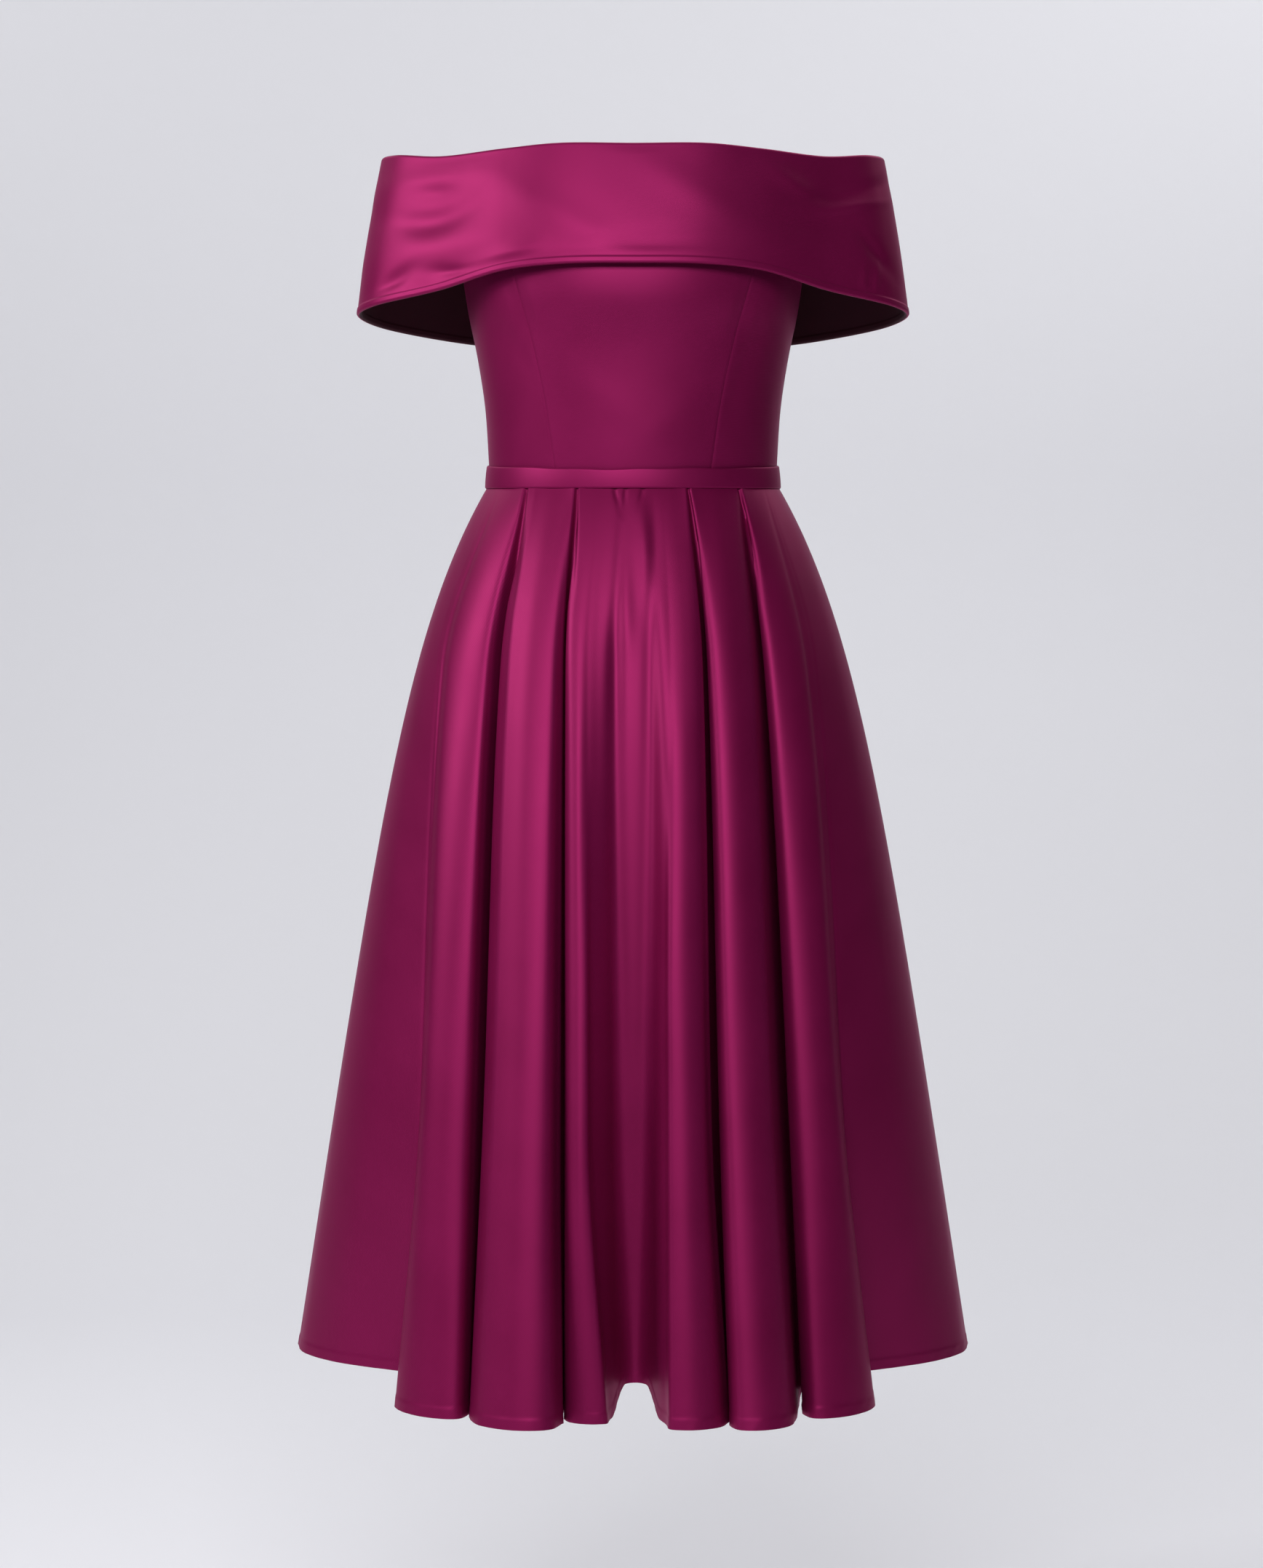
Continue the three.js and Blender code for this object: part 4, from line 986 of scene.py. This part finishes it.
# Every sheet of cloth: its node and slot, its flat size and area in metres, how it is held, and what
# holds it. The size is that of the one layer that shows.
CLOTHS = [
    {
        "piece": front_centre(),
        "node": "bodice_front_centre",
        "slot": "satin",
        "flat": (0.238, 0.26),
        "area": 0.0495,
        "held": "stretched",
        "on": "waistband_front_cloth",
    },
    {
        "piece": front_side("front_side_left", 1),
        "node": "bodice_front_side_left",
        "slot": "satin",
        "flat": (0.125, 0.255),
        "area": 0.0245,
        "held": "stretched",
        "on": "waistband_front_cloth",
    },
    {
        "piece": front_side("front_side_right", -1),
        "node": "bodice_front_side_right",
        "slot": "satin",
        "flat": (0.125, 0.255),
        "area": 0.0245,
        "held": "stretched",
        "on": "waistband_front_cloth",
    },
    {
        "piece": bodice_back(),
        "node": "bodice_back",
        "slot": "satin",
        "flat": (0.42, 0.262),
        "area": 0.0875,
        "held": "stretched",
        "on": "waistband_back_cloth",
    },
    {
        "piece": waistband_half("waistband_front_cloth", "front"),
        "node": "waistband_front",
        "slot": "satin",
        "flat": (0.355, 0.02),
        "area": 0.0067,
        "held": "folded",
        "on": "front_panel",
    },
    {
        "piece": waistband_half("waistband_back_cloth", "back"),
        "node": "waistband_back",
        "slot": "satin",
        "flat": (0.34, 0.021),
        "area": None,
        "held": "folded",
        "on": "back_panel",
    },
    {
        "piece": band_half("shoulder_band_front_cloth", -5, 5, BAND_MARKS),
        "node": "shoulder_band_front",
        "slot": "satin_band",
        "flat": (0.57, 0.14),
        "area": 0.063,
        "held": "folded",
        "on": "front_panel",
    },
    {
        "piece": band_half("shoulder_band_back_cloth", 5, 15, BAND_BACK_MARKS),
        "node": "shoulder_band_back",
        "slot": "satin_band",
        "flat": (0.55, 0.15),
        "area": 0.0745,
        "held": "folded",
        "on": "back_panel",
    },
    {
        "piece": skirt_half("skirt_front_cloth", FRONT, FRONT_CREASES, FRONT_RUNS, SATIN_SKIRT),
        "node": "skirt_front",
        "slot": "satin_skirt",
        "flat": (1.35, 0.76),
        "area": 0.73,
        "held": "gathered",
        "on": "waistband_front_cloth",
    },
    {
        "piece": skirt_half("skirt_back_cloth", BACK, BACK_CREASES, BACK_RUNS, SATIN_SKIRT),
        "node": "skirt_back",
        "slot": "satin_skirt",
        "flat": (1.25, 0.76),
        "area": 0.68,
        "held": "gathered",
        "on": "waistband_back_cloth",
    },
]
for cloth in CLOTHS:
    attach(cloth["piece"], "dress")
    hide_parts(cloth["node"])

tape = zip_tape(zip_line())
coil = zip_coil(zip_line())
for piece in (tape, coil):
    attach(piece, "dress")
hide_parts("zip_chain")
for name in ("zip_slider", "zip_pull"):
    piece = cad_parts[name]
    piece.data.materials.clear()
    piece.data.materials.append(ENAMEL)

# Stage, lights and camera

STAGE = {"half": 5000, "front": -4500, "back": 3600, "floor": -1100, "top": 4200, "round": 1500, "steps": 24}
PAPER = {"colour": (0.8, 0.8, 0.84, 1), "roughness": 0.9}
ROOM = {"colour": (0.93, 0.93, 1, 1), "strength": 0.02}


def backdrop():
    """A floor that curves up into a wall: straight, a quarter circle, straight."""
    s = STAGE
    turn = np.linspace(0, math.pi / 2, s["steps"])
    y = np.concatenate([[s["front"]], s["back"] - s["round"] + s["round"] * np.sin(turn), [s["back"]]])
    z = np.concatenate([[s["floor"]], s["floor"] + s["round"] * (1 - np.cos(turn)), [s["top"]]])
    x = np.array([-s["half"], s["half"]])
    points = np.stack([np.repeat(x, len(y)), np.tile(y, 2), np.tile(z, 2)], axis=-1)
    i = np.arange(len(y) - 1)
    quads = np.stack([i, i + len(y), i + len(y) + 1, i + 1], axis=-1)
    material = bpy.data.materials.new("pale_paper")
    material.use_nodes = True
    shader = material.node_tree.nodes["Principled BSDF"]
    shader.inputs["Base Color"].default_value = PAPER["colour"]
    shader.inputs["Roughness"].default_value = PAPER["roughness"]
    shader.inputs["Specular IOR Level"].default_value = 0
    return mesh_piece("backdrop", points, quads, np.zeros((len(points), 2)), material)


backdrop()

LIGHTS = [
    {"name": "key", "at": (-350, -2700, 1000), "size": (1800, 1000), "watts": 57},
    {"name": "left", "at": (-2700, -1100, 1300), "size": (1200, 1200), "watts": 58},
    {
        "name": "paper_left",
        "at": (-2600, 2300, 2600),
        "size": (1400, 1400),
        "watts": 24,
        "aim": (700, 3400, -600),
    },
    {
        "name": "paper_right",
        "at": (2600, 2300, 2600),
        "size": (1400, 1400),
        "watts": 27,
        "aim": (-700, 3400, -600),
    },
    {
        "name": "floor",
        "at": (600, 1100, 2800),
        "size": (3000, 900),
        "watts": 54,
        "aim": (400, 1700, -1100),
    },
]
AIM = (0, 0, -200)


def softbox(name, at, size, watts, aim=AIM):
    """A rectangular lamp at a place, turned towards its aim."""
    data = bpy.data.lights.new(name, "AREA")
    data.shape = "RECTANGLE"
    data.size, data.size_y = (s * MM for s in size)
    data.energy = watts
    lamp = bpy.data.objects.new(name, data)
    bpy.context.scene.collection.objects.link(lamp)
    from_to = np.array(aim, float) - np.array(at, float)
    lamp.location = Vector(at) * MM
    lamp.rotation_euler = Vector(from_to).to_track_quat("-Z", "Y").to_euler()
    return lamp


for light in LIGHTS:
    softbox(**light)

world = bpy.data.worlds.new("studio")
world.use_nodes = True
background = world.node_tree.nodes["Background"]
background.inputs["Color"].default_value = ROOM["colour"]
background.inputs["Strength"].default_value = ROOM["strength"]
bpy.context.scene.world = world
bpy.context.scene.view_settings.view_transform = "Standard"

CAMERA = {
    "x": -1.24,
    "distance": 2450,
    "z": -261,
    "frame_height": 1336.1,
    "sensor": 36,
    "reach": 50000,
}


def camera():
    """The camera looks level along +Y; its lens makes the frame as high as frame_height at y = 0."""
    data = bpy.data.cameras.new("camera")
    data.sensor_width = CAMERA["sensor"]
    data.lens = CAMERA["sensor"] * CAMERA["distance"] / CAMERA["frame_height"]
    data.clip_end = CAMERA["reach"] * MM
    body = bpy.data.objects.new("camera", data)
    bpy.context.scene.collection.objects.link(body)
    body.location = (CAMERA["x"] * MM, -CAMERA["distance"] * MM, CAMERA["z"] * MM)
    body.rotation_euler = (math.pi / 2, 0, 0)
    bpy.context.scene.camera = body


camera()
